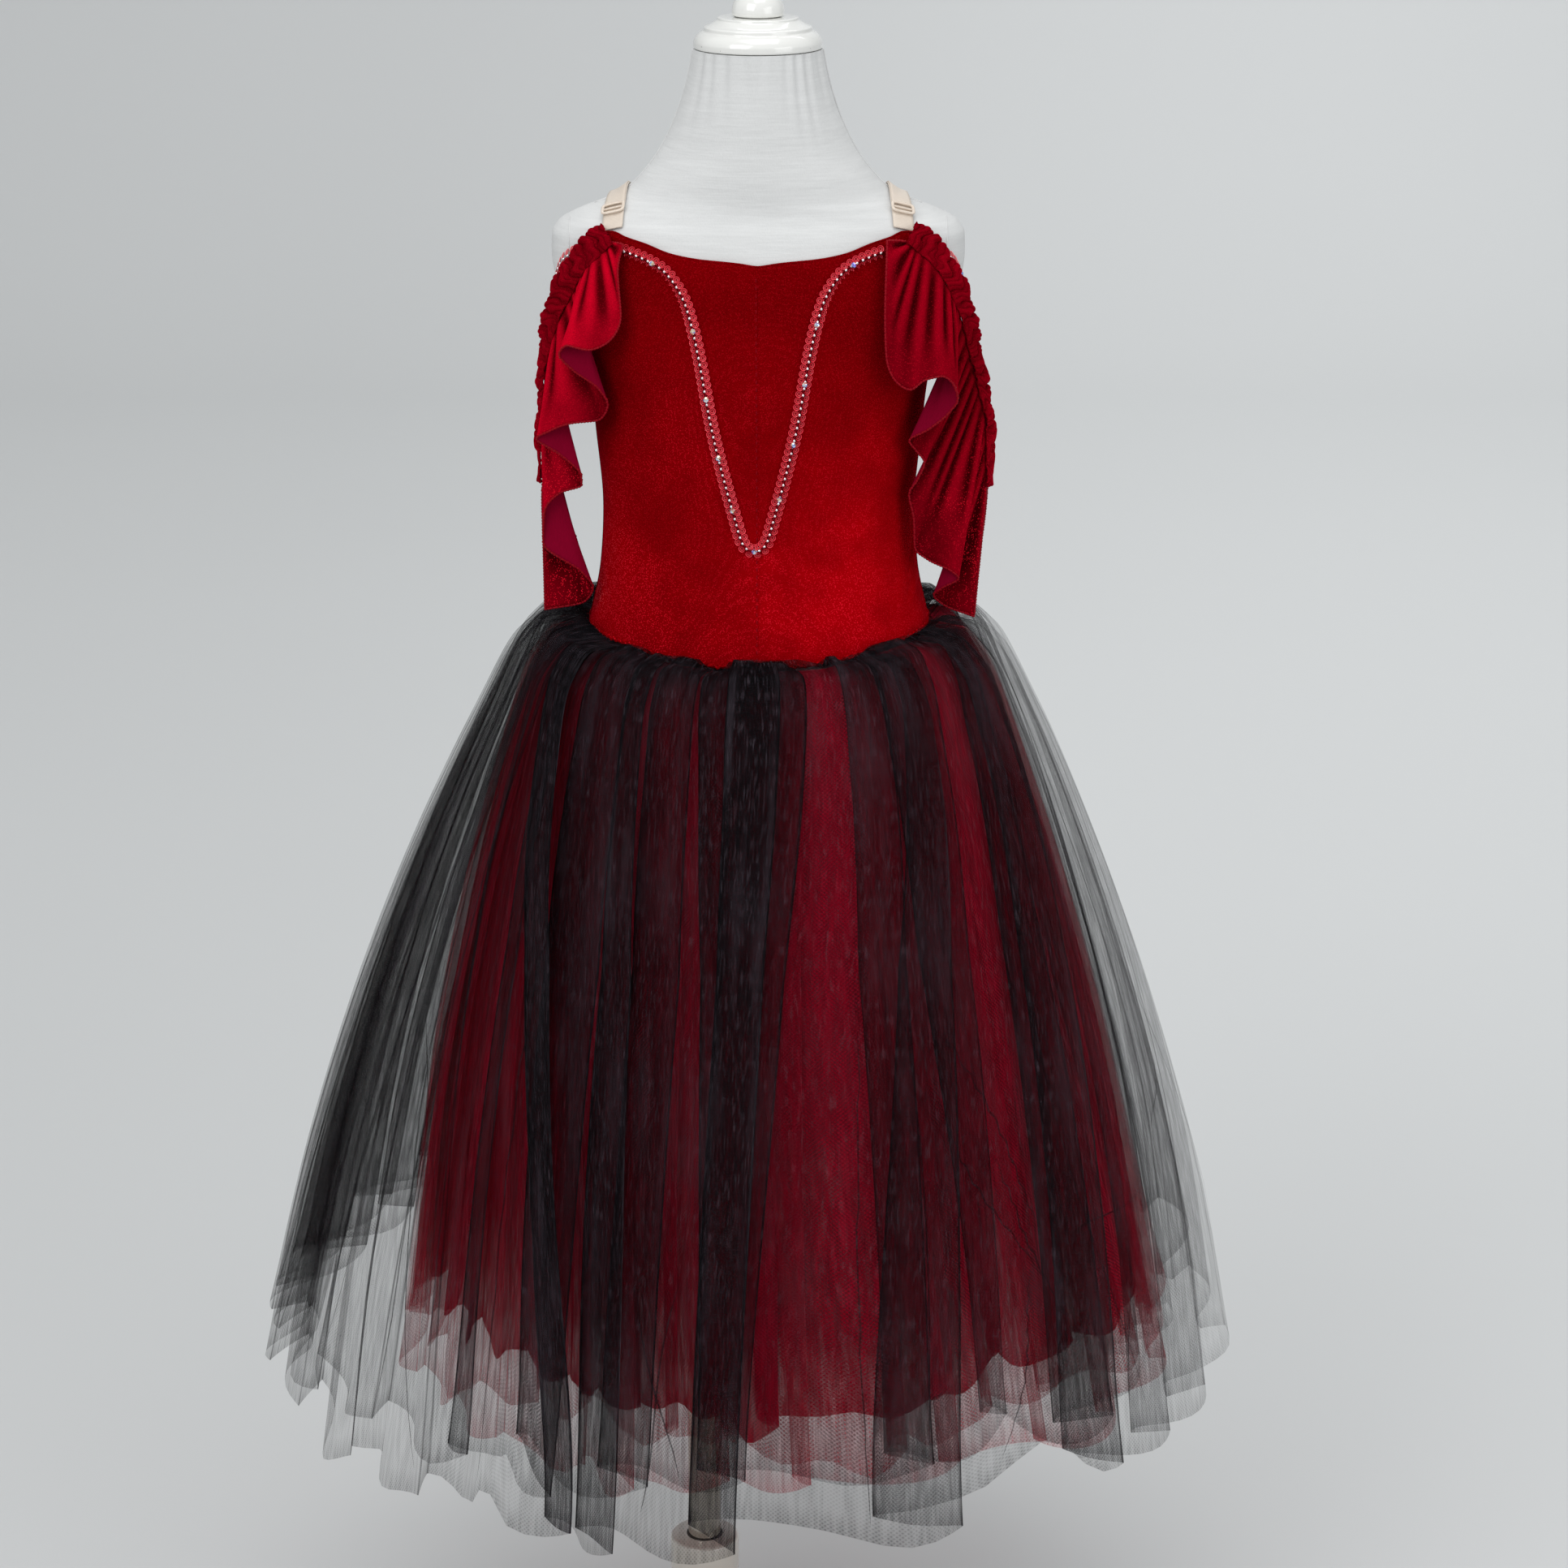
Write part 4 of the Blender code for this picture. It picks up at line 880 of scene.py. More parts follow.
def lacquer(name, colour, rim_height, wear):
    """Glossy lacquer with faint waves and a few chips near an edge."""
    shader = Shader(name, Coat_Weight=1.0, Coat_Roughness=0.04)
    where = shader.place()
    height = shader.coordinate("Z")
    waves = shader.noise(where, 70.0, 3.0, 0.5)
    below = height.ease(rim_height - 0.0012, rim_height)
    above = height.ease(rim_height + 0.001, rim_height + 0.004)
    chips = shader.noise(where, 430.0, 4.0, 0.7).ease(wear, wear + 0.05) * (below * (1 - above))
    dust = shader.noise(where, 25.0, 4.0, 0.6)
    base = shader.mix(0.3 + 0.5 * dust, shade(colour, 0.93), shade(colour, 1.04))
    base = shader.mix(chips, base, (0.05, 0.045, 0.04))
    return shader.finish(Base_Color=base, Roughness=0.12 + 0.10 * dust + 0.4 * chips,
                         Normal=shader.bump(waves, 0.0006, 0.12))


def chrome_finish(name):
    """Polished tube with faint draw lines and smudges, whose warm brownish colour is a painted
    reflection.
    """
    shader = Shader(name, Metallic=1.0)
    lines = shader.noise(shader.place(scale=(1, 1, 0.02)), 900.0, 2.0, 0.5)
    smudge_and_reflection = shader.noise(shader.place(), 30.0, 4.0, 0.6)
    # The smudges also mix in a warm brownish colour, a painted reflection of the surroundings
    base = shader.mix(smudge_and_reflection, (0.40, 0.35, 0.28), (0.58, 0.55, 0.50))
    return shader.finish(Base_Color=base, Roughness=0.07 + 0.10 * smudge_and_reflection,
                         Normal=shader.bump(lines, 0.0002, 0.1))


LOOKS = {}


def dress_looks():
    """The dress's materials, made on first use and shared by its pieces."""
    if not LOOKS:
        cloth = bpy.context.scene.dress_velvet
        trim = bpy.context.scene.dress_trim
        LOOKS.update(
            velvet=velvet("bodice velvet", cloth.bodice, cloth.glitter, 0.42),
            sleeve_velvet=velvet("sleeve velvet", cloth.sleeve, 0.8 * cloth.glitter, 0.10),
            velvet_back=velvet_back("velvet wrong side", cloth.wrong_side),
            thread=thread("crimson thread", shade(cloth.sleeve, 0.6)),
            sequin=sequin_finish("clear red sequins", trim.sequin),
            silver=silver_beads("silver-lined beads"),
            rhinestone=rhinestone_finish("rainbow crystal"))
    return LOOKS


# Shapes of the dress

def creased(points, angle, z):
    """A surface with creases pressed in: each is a soft valley with a low ridge beside it.

    The depth falls off with the distance to the crease's line as exp(-(d/w)^2), and fades
    out at both of its ends as the sine of half a turn.
    """
    push = np.zeros(angle.shape)
    for crease in BODICE_CREASES:
        across, up = (angle - crease.angle) * DEGREE_ROUND, z - crease.z
        way_across = (crease.angle2 - crease.angle) * DEGREE_ROUND
        way_up = crease.z2 - crease.z
        length = np.hypot(way_across, way_up)
        ahead = (across * way_across + up * way_up) / length ** 2
        side = (across * way_up - up * way_across) / length
        fade = np.sin(np.clip(ahead, 0, 1) * pi)
        valley = np.exp(-(side / crease.width) ** 2)
        ridge = np.exp(-((side - 1.7 * crease.width) / crease.width) ** 2)
        push += crease.depth * fade * (0.7 * ridge - valley)
    return points + grid_normals(points) * np.maximum(push, -DEEPEST_CREASE)[..., None]


def flare(above):
    """How far the bodice stands out at heights above its waistline."""
    return BODICE_FLARE * (1 - np.clip(above / FLARE_HEIGHT, 0, 1)) ** 2


def bodice_grid(angles, gap):
    """A bodice panel: angles by shares of the way from the waistline to the neckline.

    It stands off the form by the gap, plus a flare that dies out above the waistline, and
    sinks a little along the centre seam.
    """
    angles = angles[:, None]
    low = edge_height(WAISTLINE, angles) + SEAM_GAP
    high = edge_height(NECKLINE, angles)
    z = low + (high - low) * np.linspace(0, 1, BODICE_ROWS)
    out = gap + flare(z - low) - CENTRE_SINK * np.exp(-(angles / 0.45) ** 2)
    angles = angles + 0 * z
    return creased(body_points(angles, z, out), angles, z)


def bodice_piece(name, node, angles, gap, looks):
    """One bodice panel. Hands over the line of its turned top edge and the way out of it."""
    grid = bodice_grid(angles, gap)
    piece = make_piece(name, [grid_patch(grid)], [looks["velvet"], looks["velvet_back"]],
                       [node])
    thicken(piece, VELVET_WALL, 1, inside=1)
    wide = float(steps_of(grid[:, WIDTH_ROW]).sum())
    tall = float(steps_of(grid, 1).sum(axis=1).max())
    declare(wide / VELVET_STRETCH, tall, grid_area(grid) / VELVET_STRETCH)
    out = grid_normals(grid)[:, -1]
    return grid[:, -1] + out * 0.5 * VELVET_WALL, out


def waist_roll(angles, gap):
    """The rolled waist seam, puckered by the gathers under it."""
    z = edge_height(WAISTLINE, angles) + SEAM_GAP + 0.0012
    pucker = 0.0007 * np.sin(angles * 1.9) + 0.0005 * np.sin(angles * 3.7 + 1)
    path = body_points(angles, z + pucker, gap + BODICE_FLARE + VELVET_WALL - 0.0004)
    out = body_points(angles, z, gap + 0.02) - body_points(angles, z, gap)
    return tube_patch(path, out, 0.0009 + 0.0003 * np.sin(angles * 2.3 + 0.5))


def stitch_row(path, out, pitch, length, radius, slot):
    """Running stitches: short flat capsules at equal steps along a path."""
    run = added_up(steps_of(path))
    middles = np.arange(pitch / 2, run[-1], pitch)
    turn = turns(6)
    ring = np.stack([0 * turn, np.cos(turn), 0.7 * np.sin(turn)], axis=-1)
    stations = np.array([-1.0, -0.8, 0.8, 1.0])
    widths = np.array([0.15, 1.0, 1.0, 0.15])
    core = np.stack([stations, 0 * stations, 0 * stations], axis=-1)
    shape = ring * widths[:, None, None] + core[:, None] * length / 2 / radius
    centres = read_along(middles, run, path)
    outs = unit(read_along(middles, run, out))
    ways = unit(read_along(middles + 1e-4, run, path) - centres)
    axes = np.stack([ways, np.cross(outs, ways), outs], axis=1)
    return copies_patch(grid_patch(shape, around=True), centres, axes, radius, slot)


def bead_line(path, out, looks, name, node, stones):
    """Sequin and bead trim along a path: a cup sequin each side of a line of silver beads.

    A sequin is a disc whose height rises with the square of its radius; they overlap like
    scales. stones are the places of the larger crystals, as shares of the path.
    """
    settings = bpy.context.scene.dress_trim
    pitch = settings.sequin_pitch
    run = added_up(steps_of(path))

    def frames(places):
        way = unit(read_along(places + 2e-4, run, path) - read_along(places - 2e-4, run, path))
        outs = squared(unit(read_along(places, run, out)), way)
        return read_along(places, run, path), way, np.cross(way, outs), outs

    radii = np.array([0.12, 0.38, 0.50, 0.80, 0.92, 1.0])
    sequin = turned_shape(radii, SEQUIN_CUP * radii ** 2, 12)
    patches = []
    for side, start in ((-1, 0.0), (1, pitch / 2)):
        centre, way, across, outs = frames(np.arange(0.002 + start, run[-1] - 0.001, pitch))
        tilt = unit(outs + 0.42 * side * across - 0.12 * way)
        first = squared(way, tilt)
        axes = np.stack([first, np.cross(tilt, first), tilt], axis=1)
        centre = centre + across * side * 0.0025 + outs * 0.0010
        patches.append(copies_patch(sequin, centre, axes, settings.sequin_size))
    rise = np.linspace(1, -1, 7)
    bead = turned_shape(np.sqrt(np.maximum(1 - 0.92 * rise ** 2, 0.05)), rise, 6)
    centre, way, across, outs = frames(np.arange(0.0015, run[-1] - 0.001, pitch))
    axes = np.stack([across, outs, way], axis=1)
    patches.append(copies_patch(bead, centre + outs * 0.0022, axes, BEAD_RADIUS, 1))
    crystal = turned_shape([0.45, 1.0, 1.0, 0.55, 0.02], [-1.0, -0.25, 0.1, 0.75, 0.8], 8)
    centre, way, across, outs = frames(np.array(stones) * run[-1])
    axes = np.stack([way, -across, outs], axis=1)
    patches.append(copies_patch(crystal, centre + outs * 0.0028, axes, CRYSTAL_RADIUS, 2,
                                flat=True))
    patches.append(tube_patch(path + out * 0.0010, out, 0.0006, 6, 3))
    finishes = [looks[key] for key in ("sequin", "silver", "rhinestone", "thread")]
    make_piece(name, patches, finishes, [node])


def v_trim_path():
    """Middle line of the V trim on the bodice's outer face, with the way out of it."""
    spread, height = along(V_TRIM, TrimPoint._fields, np.linspace(0, 1, 210))
    x = V_MIDDLE + np.concatenate([-spread[:0:-1], spread])
    z = np.concatenate([height[:0:-1], height])
    base = CLOTH_GAP + VELVET_WALL + TRIM_CLEARANCE - 0.0004
    angle = front_angle(x, z, base)
    path = body_points(angle, z, base)
    return path, unit(body_points(angle, z, base + 0.01) - path)


def sleeve_trim_path(side):
    """Middle line of the trim on a sleeve's top edge, with the way out of it."""
    angle, z = along(SLEEVE_TRIM, Edge._fields, np.linspace(0, 1, 220))
    path = body_points(angle, z, CLOTH_GAP - 0.0003)
    out = unit(body_points(angle, z, CLOTH_GAP + 0.01) - path)
    flip = np.array([side, 1, 1])
    return (path * flip)[::side], (out * flip)[::side]


# Shapes of the sleeves

def strip_frame(side, fraction):
    """Middle line of a ruched strip, the way that it faces, and the way to its front edge."""
    x, y, z, facing, tilt = along(STRIP[side], StripPoint._fields, fraction)
    middle = np.stack([x * side, y, z], axis=-1)
    facing, tilt = np.radians(facing), np.radians(tilt)
    out = np.stack([side * np.sin(facing) * np.cos(tilt), -np.cos(facing) * np.cos(tilt),
                    np.sin(tilt)], axis=-1)
    way = np.gradient(middle, axis=0)
    return middle, out, unit(-side * np.cross(out, way))


def ruching_grid(side):
    """Gathered strip: lobes round as |sin| to a power, crumpled, and pulled in at both edges.

    The lobes lean and wander across the strip, and finer crumples as |sin| of three times
    their beat lie on them. The outer edge bulges with each lobe.
    """
    fraction = np.linspace(0, 1, STRIP_GATHERS * 22 + 1)[:, None]
    across = np.linspace(1, -1, 29)[None, :]
    middle, out, forward = strip_frame(side, fraction[:, 0])
    beat = fraction * STRIP_GATHERS + 0.25 * np.sin(across * 2.2 + fraction * 17)
    beat = beat + 0.12 * np.sin(across * 5 + fraction * 41)
    lobe = np.abs(np.sin(beat * pi)) ** 0.5
    crumple = np.abs(np.sin(beat * pi * 2.7 + across * 1.6 + 2 * np.sin(fraction * 23))) ** 0.6
    uneven = 0.74 + 0.26 * np.sin(fraction * 31 + 1.3 * across)
    body = 1 - 0.45 * np.clip(across, 0, 1) ** 2 - 0.55 * np.clip(-across - 0.4, 0, 1) ** 2
    height = GATHER_HEIGHT * (0.86 * lobe * uneven + 0.34 * crumple) * body
    reach = 1.0 + 0.16 * (lobe - 0.6) * uneven * np.clip(-across, 0, 1) ** 2
    width = across * (STRIP_HALF_WIDTH + 0.0004) * reach
    # light is painted light and shade for the velvet: lighter on the lobes and crumples, darker in
    # the folds between them
    light = np.clip(0.25 + 0.65 * lobe * (0.35 + 0.65 * crumple), 0, 1)
    points = (middle[:, None, :] + forward[:, None, :] * width[..., None]
              + out[:, None, :] * (height + 0.0002)[..., None])
    return points, light


def relief(points, reach):
    """Light on a folded pile: 1 and more along ridges, less down in valleys.

    It is taken from how far a point stands out from the points a few columns to each side.
    """
    padded = np.concatenate([points[:1].repeat(reach, 0), points, points[-1:].repeat(reach, 0)])
    around = 0.5 * (padded[2 * reach:] + padded[:-2 * reach])
    stands = ((points - around) * grid_normals(points)).sum(axis=-1)
    return np.clip(0.78 + 0.72 * np.tanh(stands / 0.0013), 0.22, 1.75)


def flounce_grid(side, seam, hem, rows, gathers):
    """A flounce: straight falls from seam to hem that stand out early and hang down late.

    Each point is seam + (hem - seam) times the share of the fall, with the share to the power
    0.6 for the way forward. Pleats from the gathered seam are a sine along it that dies out
    towards the hem.
    """
    drop = np.linspace(0, 1, rows)[None, :, None]
    share = drop ** np.array([1.0, FORWARD_POWER, 1.0])
    points = (seam[:, None, :] + (hem - seam)[:, None, :] * share)[::-side]
    fall = drop[..., 0]
    beat = np.linspace(0, 1, len(seam))[:, None]
    pleats = np.sin(tau * gathers * beat + 1.7 * np.sin(tau * 3 * beat + 0.6) + 0.8 * fall)
    depth = PLEAT_DEPTH * np.sin(pi * np.clip(fall / 0.85, 0, 1)) ** 0.8 * (1 - fall)
    return points + grid_normals(points) * (depth * pleats)[..., None]


def front_flounce_lines(side):
    """Seam line and hem line of a front flounce."""
    rows = FRONT_HEM[side]
    fraction = np.linspace(0, 1, 9 * (len(rows) - 1) + 1)
    x, y, z, sewn = along(rows, HemPoint._fields, fraction)
    middle, out, forward = strip_frame(side, sewn)
    seam = middle + forward * SEAM_REACH + out * 0.0012
    return seam, np.stack([x * side, y, z], axis=-1)


def back_flounce_lines(side):
    """Seam line and hem line of the flounce behind the arm, in even folds."""
    fraction = np.linspace(0, 1, 140)
    sewn = BACK_FLOUNCE_TOP + (1 - BACK_FLOUNCE_TOP) * fraction
    middle, out, forward = strip_frame(side, sewn)
    seam = middle - forward * SEAM_REACH + out * 0.0004
    swing = np.cos(fraction * BACK_FOLDS * tau)
    hem = seam.copy()
    hem[:, 0] -= side * (0.002 + (0.012 + 0.008 * swing) * fraction ** 0.5)
    hem[:, 1] += BACK_FLOUNCE_REACH * (1.25 - 0.45 * fraction)
    hem[:, 2] -= BACK_FLOUNCE_DROP * (0.3 + 0.7 * fraction ** 0.5)
    return seam[::-1], hem[::-1]


def serged_edge(line, out):
    """Overlocked edge: a thread tube whose radius beats with the loops along the hem."""
    run = added_up(steps_of(line))
    places = np.arange(0, run[-1], SERGED_LOOP / 3)
    path, outs = read_along(places, run, line), read_along(places, run, out)
    radius = 0.00078 + 0.00022 * np.sin(places / SERGED_LOOP * tau)
    wobble = unit(outs) * (0.0002 * np.sin(places / SERGED_LOOP * pi))[:, None]
    return tube_patch(path + wobble, outs, radius, 6)


def flounce_piece(kind, side, word, lines, rows, gathers, looks):
    """A velvet flounce with its matte wrong side and its serged edges."""
    seam, hem = lines
    grid = flounce_grid(side, seam, hem, rows, gathers)
    beat = np.linspace(0, 1, len(grid))[:, None]
    # Painted light: the left flounce is lit brighter than the right, and both are lighter towards
    # the top, over the painted light and shade of the ridges
    painted_light = 1.65 - 0.75 * beat if side == LEFT else 0.66 + 0.22 * beat
    name = f"{kind}_flounce_{word}"
    piece = make_piece(name, [grid_patch(grid, cover=relief(grid, 5) * painted_light)],
                       [looks["sleeve_velvet"], looks["velvet_back"]],
                       [f"sleeve_{name}"])
    thicken(piece, FLOUNCE_WALL, 0, inside=1, even=False)
    edge, outs = (np.concatenate([part[0], part[1:-1, -1], part[-1, ::-1]])
                  for part in (grid, grid_normals(grid)))
    trim = make_piece(f"{name}_edge", [serged_edge(edge, outs)], [looks["thread"]])
    wide = float(steps_of(hem).sum())
    tall = float(np.linalg.norm(hem - seam, axis=-1).max())
    declare(wide, tall, grid_area(grid))


# Shapes of the skirt

def fold_path(folds, fall):
    """Angles, depths, thicknesses and shares of the panel of a folded layer's columns.

    At each fold the cloth turns back on itself: its angle runs evenly from one edge of the
    fold to the other while its depth goes from outside to inside. Between folds it runs evenly
    from the inside of one to the outside of the next. The share is 0 in a fold and rises as
    the sine of half a turn from one fold to the next. Folds are wider at the waist, where they
    lap over each other, and drift to their places at the hem.
    """
    hem, waist, half_hem, half_waist, depth, stack = (
        column(folds, name)[:, None, None] for name in Fold._fields)
    rise = (1 - fall[None, None, :]) ** 1.7
    middle = hem + (waist - hem) * rise
    half = half_hem + (half_waist - half_hem) * rise
    following = np.roll(middle, -1, axis=0)
    following[-1] += 360
    half_next, depth_next = np.roll(half, -1, axis=0), np.roll(depth, -1, axis=0)
    back = TURN_PLACES[None, :, None]
    on = PANEL_PLACES[None, :, None]
    start, end = middle - half, following + half_next
    depth_on = (-depth + (depth + depth_next) * (3 * on ** 2 - 2 * on ** 3)
                - 0.3 * (depth + depth_next) * np.sin(on * tau))
    edge = 1 + 1.6 * ((back == 0) | (back > 0.9))
    angle = np.concatenate([middle + half * (1 - 2 * back), start + (end - start) * on], axis=1)
    in_turn, in_panel = 0 * angle[:, :TURN_COLUMNS], 0 * angle[:, TURN_COLUMNS:]
    inset = np.concatenate([depth * (1 - 2 * back) + in_turn, depth_on + in_panel], axis=1)
    thick = np.concatenate([stack * edge + in_turn, 1 + in_panel], axis=1)
    thick[:, TURN_COLUMNS] = thick[:, TURN_COLUMNS - 1]
    panel = np.concatenate([in_turn, np.sin(on * pi) + in_panel], axis=1)
    return [part.reshape(-1, len(fall)) for part in (angle, inset, thick, panel)]


def waist_tabs(angle, seed):
    """Flat tabs that the gathers make at the waist: a level from -1 to 1 and the gaps between.

    Each tab has one level, hashed from its number, and slopes to the next in a short step.
    """
    place = np.mod(angle, 360) / 360 * WAIST_TABS
    place = place + 0.3 * np.sin(place / WAIST_TABS * 5 * tau)
    number, inside = np.floor(place), place - np.floor(place)

    def level(which):
        return 2 * np.mod(np.abs(np.sin(np.mod(which, WAIST_TABS) * 12.9 + seed) * 437.5), 1) - 1

    step = np.clip((inside - 0.85) / 0.15, 0, 1)
    return level(number) * (1 - step) + level(number + 1) * step, step * (1 - step) * 4


def hem_cut(angle, beat, swing, ragged, lifted, seed):
    """How far the net's edge is cut above or below its mean: waves, lifts and raggedness.

    The waves and the raggedness are sines along the cloth. A lift is its height times
    exp(-(a/s)^2) of the angle to its middle.
    """
    cut = swing * (np.sin(4 * beat + seed) + 0.5 * np.sin(9 * beat + 2 * seed)
                   + 0.15 * np.sin(17 * beat + 3 * seed))
    for bump in HEM_LIFTS:
        away = away_from(angle, bump.angle)
        cut = cut + lifted * bump.height * np.exp(-(away / bump.spread) ** 2)
    rough = np.sin(31 * beat + 5 * seed) + np.sin(47 * beat + 2.5 * np.sin(7 * beat))
    return cut + ragged * rough


def tulle_grid(rings, folds, scale, hem_rise, swing, ragged, scallop, layers, seed, tab,
               lifted, lean=0.0, thin=0.0):
    """A folded tube of net from the waist seam to its raw hem, and the threads seen through it.

    The ring's half width and depth at each height carry the folds, fine gathers near the
    waist and slow waves near the hem. The hem is cut in long uneven waves along the cloth and
    hangs lower in the middle of each panel. The cover counts thicknesses: one in a panel, the
    fold's own number in a fold, and more of both where the waist gathers them.
    """
    share = np.append(np.linspace(0, 1, NET_ROWS)[:-1] ** 1.12, [0.9975, 1.0])
    z, half_width, half_depth, shift = along(rings, Ring._fields, share)
    fall = np.clip((z[0] - z) / (z[0] - z[-1]), 0, 1)
    angle, inset, thick, panel = fold_path(folds, fall)
    turn = np.radians(angle)
    grow = 1 - (1 - scale) * np.minimum(share * 2.2, 1)
    gather = np.exp(-(share / 0.30) ** 2)
    level, gap = waist_tabs(angle, seed)
    streak = np.sin(turn * 97 + 3 * np.sin(5 * turn + seed))
    fine = gather * (0.0009 * streak + 0.0032 * level)
    slow = 0.006 * fall ** 2 * np.sin(9 * turn + 2.5 * np.sin(3 * turn + seed) + 2.2 * fall)
    crumple = 0.0024 * fall ** 3 * np.sin(23 * turn + 6 * fall + seed * 2)
    wave = inset * (0.14 + 0.86 * fall ** 0.7) + fine + slow + crumple
    power = WAIST_POWER + (2 - WAIST_POWER) * np.clip(fall * 3, 0, 1)
    s, c = np.sin(turn), np.cos(turn)
    aside = lean * fall ** 0.6 * s * s * np.where(s > 0, 1.0, 0.4)
    x = shift - aside + (half_width * grow + wave) * signed_power(s, 2 / power)
    y = -(half_depth * grow + wave) * signed_power(c, 2 / power)
    level_net = np.stack([x, y, z + 0 * x], axis=-1)
    widest = np.linalg.norm(np.roll(level_net, -1, axis=0) - level_net, axis=-1).max(axis=1)
    run = np.cumsum(widest[:, None], axis=0)
    cut = hem_cut(angle, tau * run / run[-1], swing, ragged, lifted, seed)
    dip = edge_height(WAISTLINE, np.mod(angle, 360)) - WAISTLINE[-1].z
    tuft = (tab * (level + 0.3) - 0.0015) * np.clip(share * 14, 0, 1)
    tuft = tuft * np.exp(-(share / 0.27) ** 2)
    height = z + dip * (1 - fall) + (cut + hem_rise - scallop * panel) * fall ** 3 + tuft
    crowd = 1.3 * np.exp(-(np.maximum(share - 0.17, 0) / 0.13) ** 2) * (1 - 0.72 * panel)
    crowd = crowd * (1 + 0.35 * streak + 1.2 * gap * gather)
    crowd = crowd + 1.8 * np.clip(level, 0, 1) * np.exp(-(share / 0.07) ** 2)
    seen = thick ** (1 - 0.17 * crowd - 0.45 * fall ** 5) * (1 + crowd) * layers
    if layers > 1:
        seen = seen * (1 - 0.7 * np.clip((share - 0.90) / 0.10, 0, 1))
    else:
        seen[::FOLD_COLUMNS] *= FOLD_EDGE_COVER
        seen[TURN_COLUMNS::FOLD_COLUMNS] *= FOLD_EDGE_COVER
    seen[:, -2:] *= HEM_EDGE_COVER
    seen = seen * (1 - thin * np.exp(-((np.mod(angle, 360) - 90) / 21) ** 2))
    return np.stack([x, y, height], axis=-1), seen, float(run[-1, 0])


def pinched(points, angle, lines):
    """Narrow bands of net doubled over, laid along lines on the outside of a layer's panels."""
    patches = []
    rows = points.shape[1]
    starts = np.arange(TURN_COLUMNS, len(points), FOLD_COLUMNS)
    for first, high, second, low in lines:
        share = np.linspace(0, 1, 26)
        want = first + (second - first) * share + 0.8 * np.sin(share * pi * 1.5 + first)
        row = np.clip((high + (low - high) * share) * (rows - 2), 0, rows - 2.01)
        below = row.astype(int)
        part = (row - below)[:, None]
        panel = starts[np.clip(np.searchsorted(angle[starts, -1], want.mean()) - 1, 0, None)]
        columns = np.arange(panel, min(panel + len(PANEL_PLACES), len(points)))
        at = np.array([np.interp(w, angle[columns, r], columns) for w, r in zip(want, below)])
        left = np.minimum(at.astype(int), len(points) - 2)
        over = (at - left)[:, None]
        upper, lower = (points[left, k] * (1 - over) + points[left + 1, k] * over
                        for k in (below, below + 1))
        path = upper * (1 - part) + lower * part
        out = unit(path * np.array([1, 1, 0.1]))
        way = unit(np.gradient(path, axis=0))
        side = unit(np.cross(way, out)) * (0.0006 * np.sin(share * pi) ** 0.5 + 0.00005)[:, None]
        band = np.stack([path - side, path + side], axis=1) + out[:, None] * 0.0010
        patches.append(grid_patch(band, cover=np.full(band.shape[:2], PINCH_COVER)))
    return patches


def moved_folds(folds, turn, wider, seed):
    """The folds of a layer underneath: a little to one side, wider or narrower by turns."""
    number = np.arange(len(folds))
    drift = turn + 1.6 * np.sin(number * 2.3 + seed)
    change = wider * (1 + 0.25 * np.sin(number * 1.7 + seed))
    return [Fold(fold.hem + move, fold.waist + 0.6 * move, 0.6 * fold.half_hem * size,
                 fold.half_waist * size, fold.depth * 0.5, 1.0)
            for fold, move, size in zip(folds, drift, change)]


def tulle_piece(name, material, slot, nodes, rests_on, lines=(), **shape):
    """One layer of net as a thin sheet."""
    points, seen, width = tulle_grid(**shape)
    across = np.arange(len(points)) * (width / len(points))
    down = added_up(steps_of(points, 1).mean(axis=0))
    uv = np.stack(np.meshgrid(across, down[::-1], indexing="ij"), axis=-1).reshape(-1, 2)
    patch = grid_patch(points[:, ::-1], closed=True, cover=seen[:, ::-1])._replace(uv=uv)
    angle = np.degrees(np.unwrap(np.arctan2(points[..., 0], -points[..., 1]), axis=0))
    piece = make_piece(name, [patch] + pinched(points, angle, lines), [material], nodes)


# Shapes of the straps and the form

def over_shoulder(x, lean):
    """Where rays from inside the shoulder at x, leaning back from straight up, leave the form."""
    middle = 1.090
    near, far = np.zeros_like(x), np.full_like(x, 0.12)
    for _ in range(40):
        reach = (near + far) / 2
        z = middle + reach * np.cos(lean)
        half_width, front, back, power = section_at(z)
        depth = np.where(lean < 0, front, back)
        width_share = np.clip(np.abs(x) / half_width, 0, 1)
        limit = depth * (1 - width_share ** power) ** (1 / power)
        inside = (width_share < 1) & (np.abs(reach * np.sin(lean)) < limit)
        near = np.where(inside, reach, near)
        far = np.where(inside, far, reach)
    return np.stack([x, near * np.sin(lean), middle + near * np.cos(lean)], axis=-1)


def strap_grid(side, lean, width, columns):
    """A band of the form's surface that runs over the shoulder from front to back."""
    lean = np.radians(lean)[:, None]
    share = (lean - radians(STRAP_LEAN[0])) / radians(STRAP_LEAN[1] - STRAP_LEAN[0])
    x = STRAP_FRONT_X + (STRAP_BACK_X - STRAP_FRONT_X) * share
    x = x + np.linspace(-0.5, 0.5, columns) * width
    points = over_shoulder(x, lean + 0 * x)
    points[..., 0] *= side
    return points[::-side]


def elastic_piece(name, side, lean, width, gap, elastic, nodes=()):
    """A band of elastic over the shoulder."""
    grid = strap_grid(side, lean, width, 9)
    grid = grid + grid_normals(grid) * gap
    piece = make_piece(name, [grid_patch(grid)], [elastic], nodes)
    thicken(piece, ELASTIC_WALL, 1)


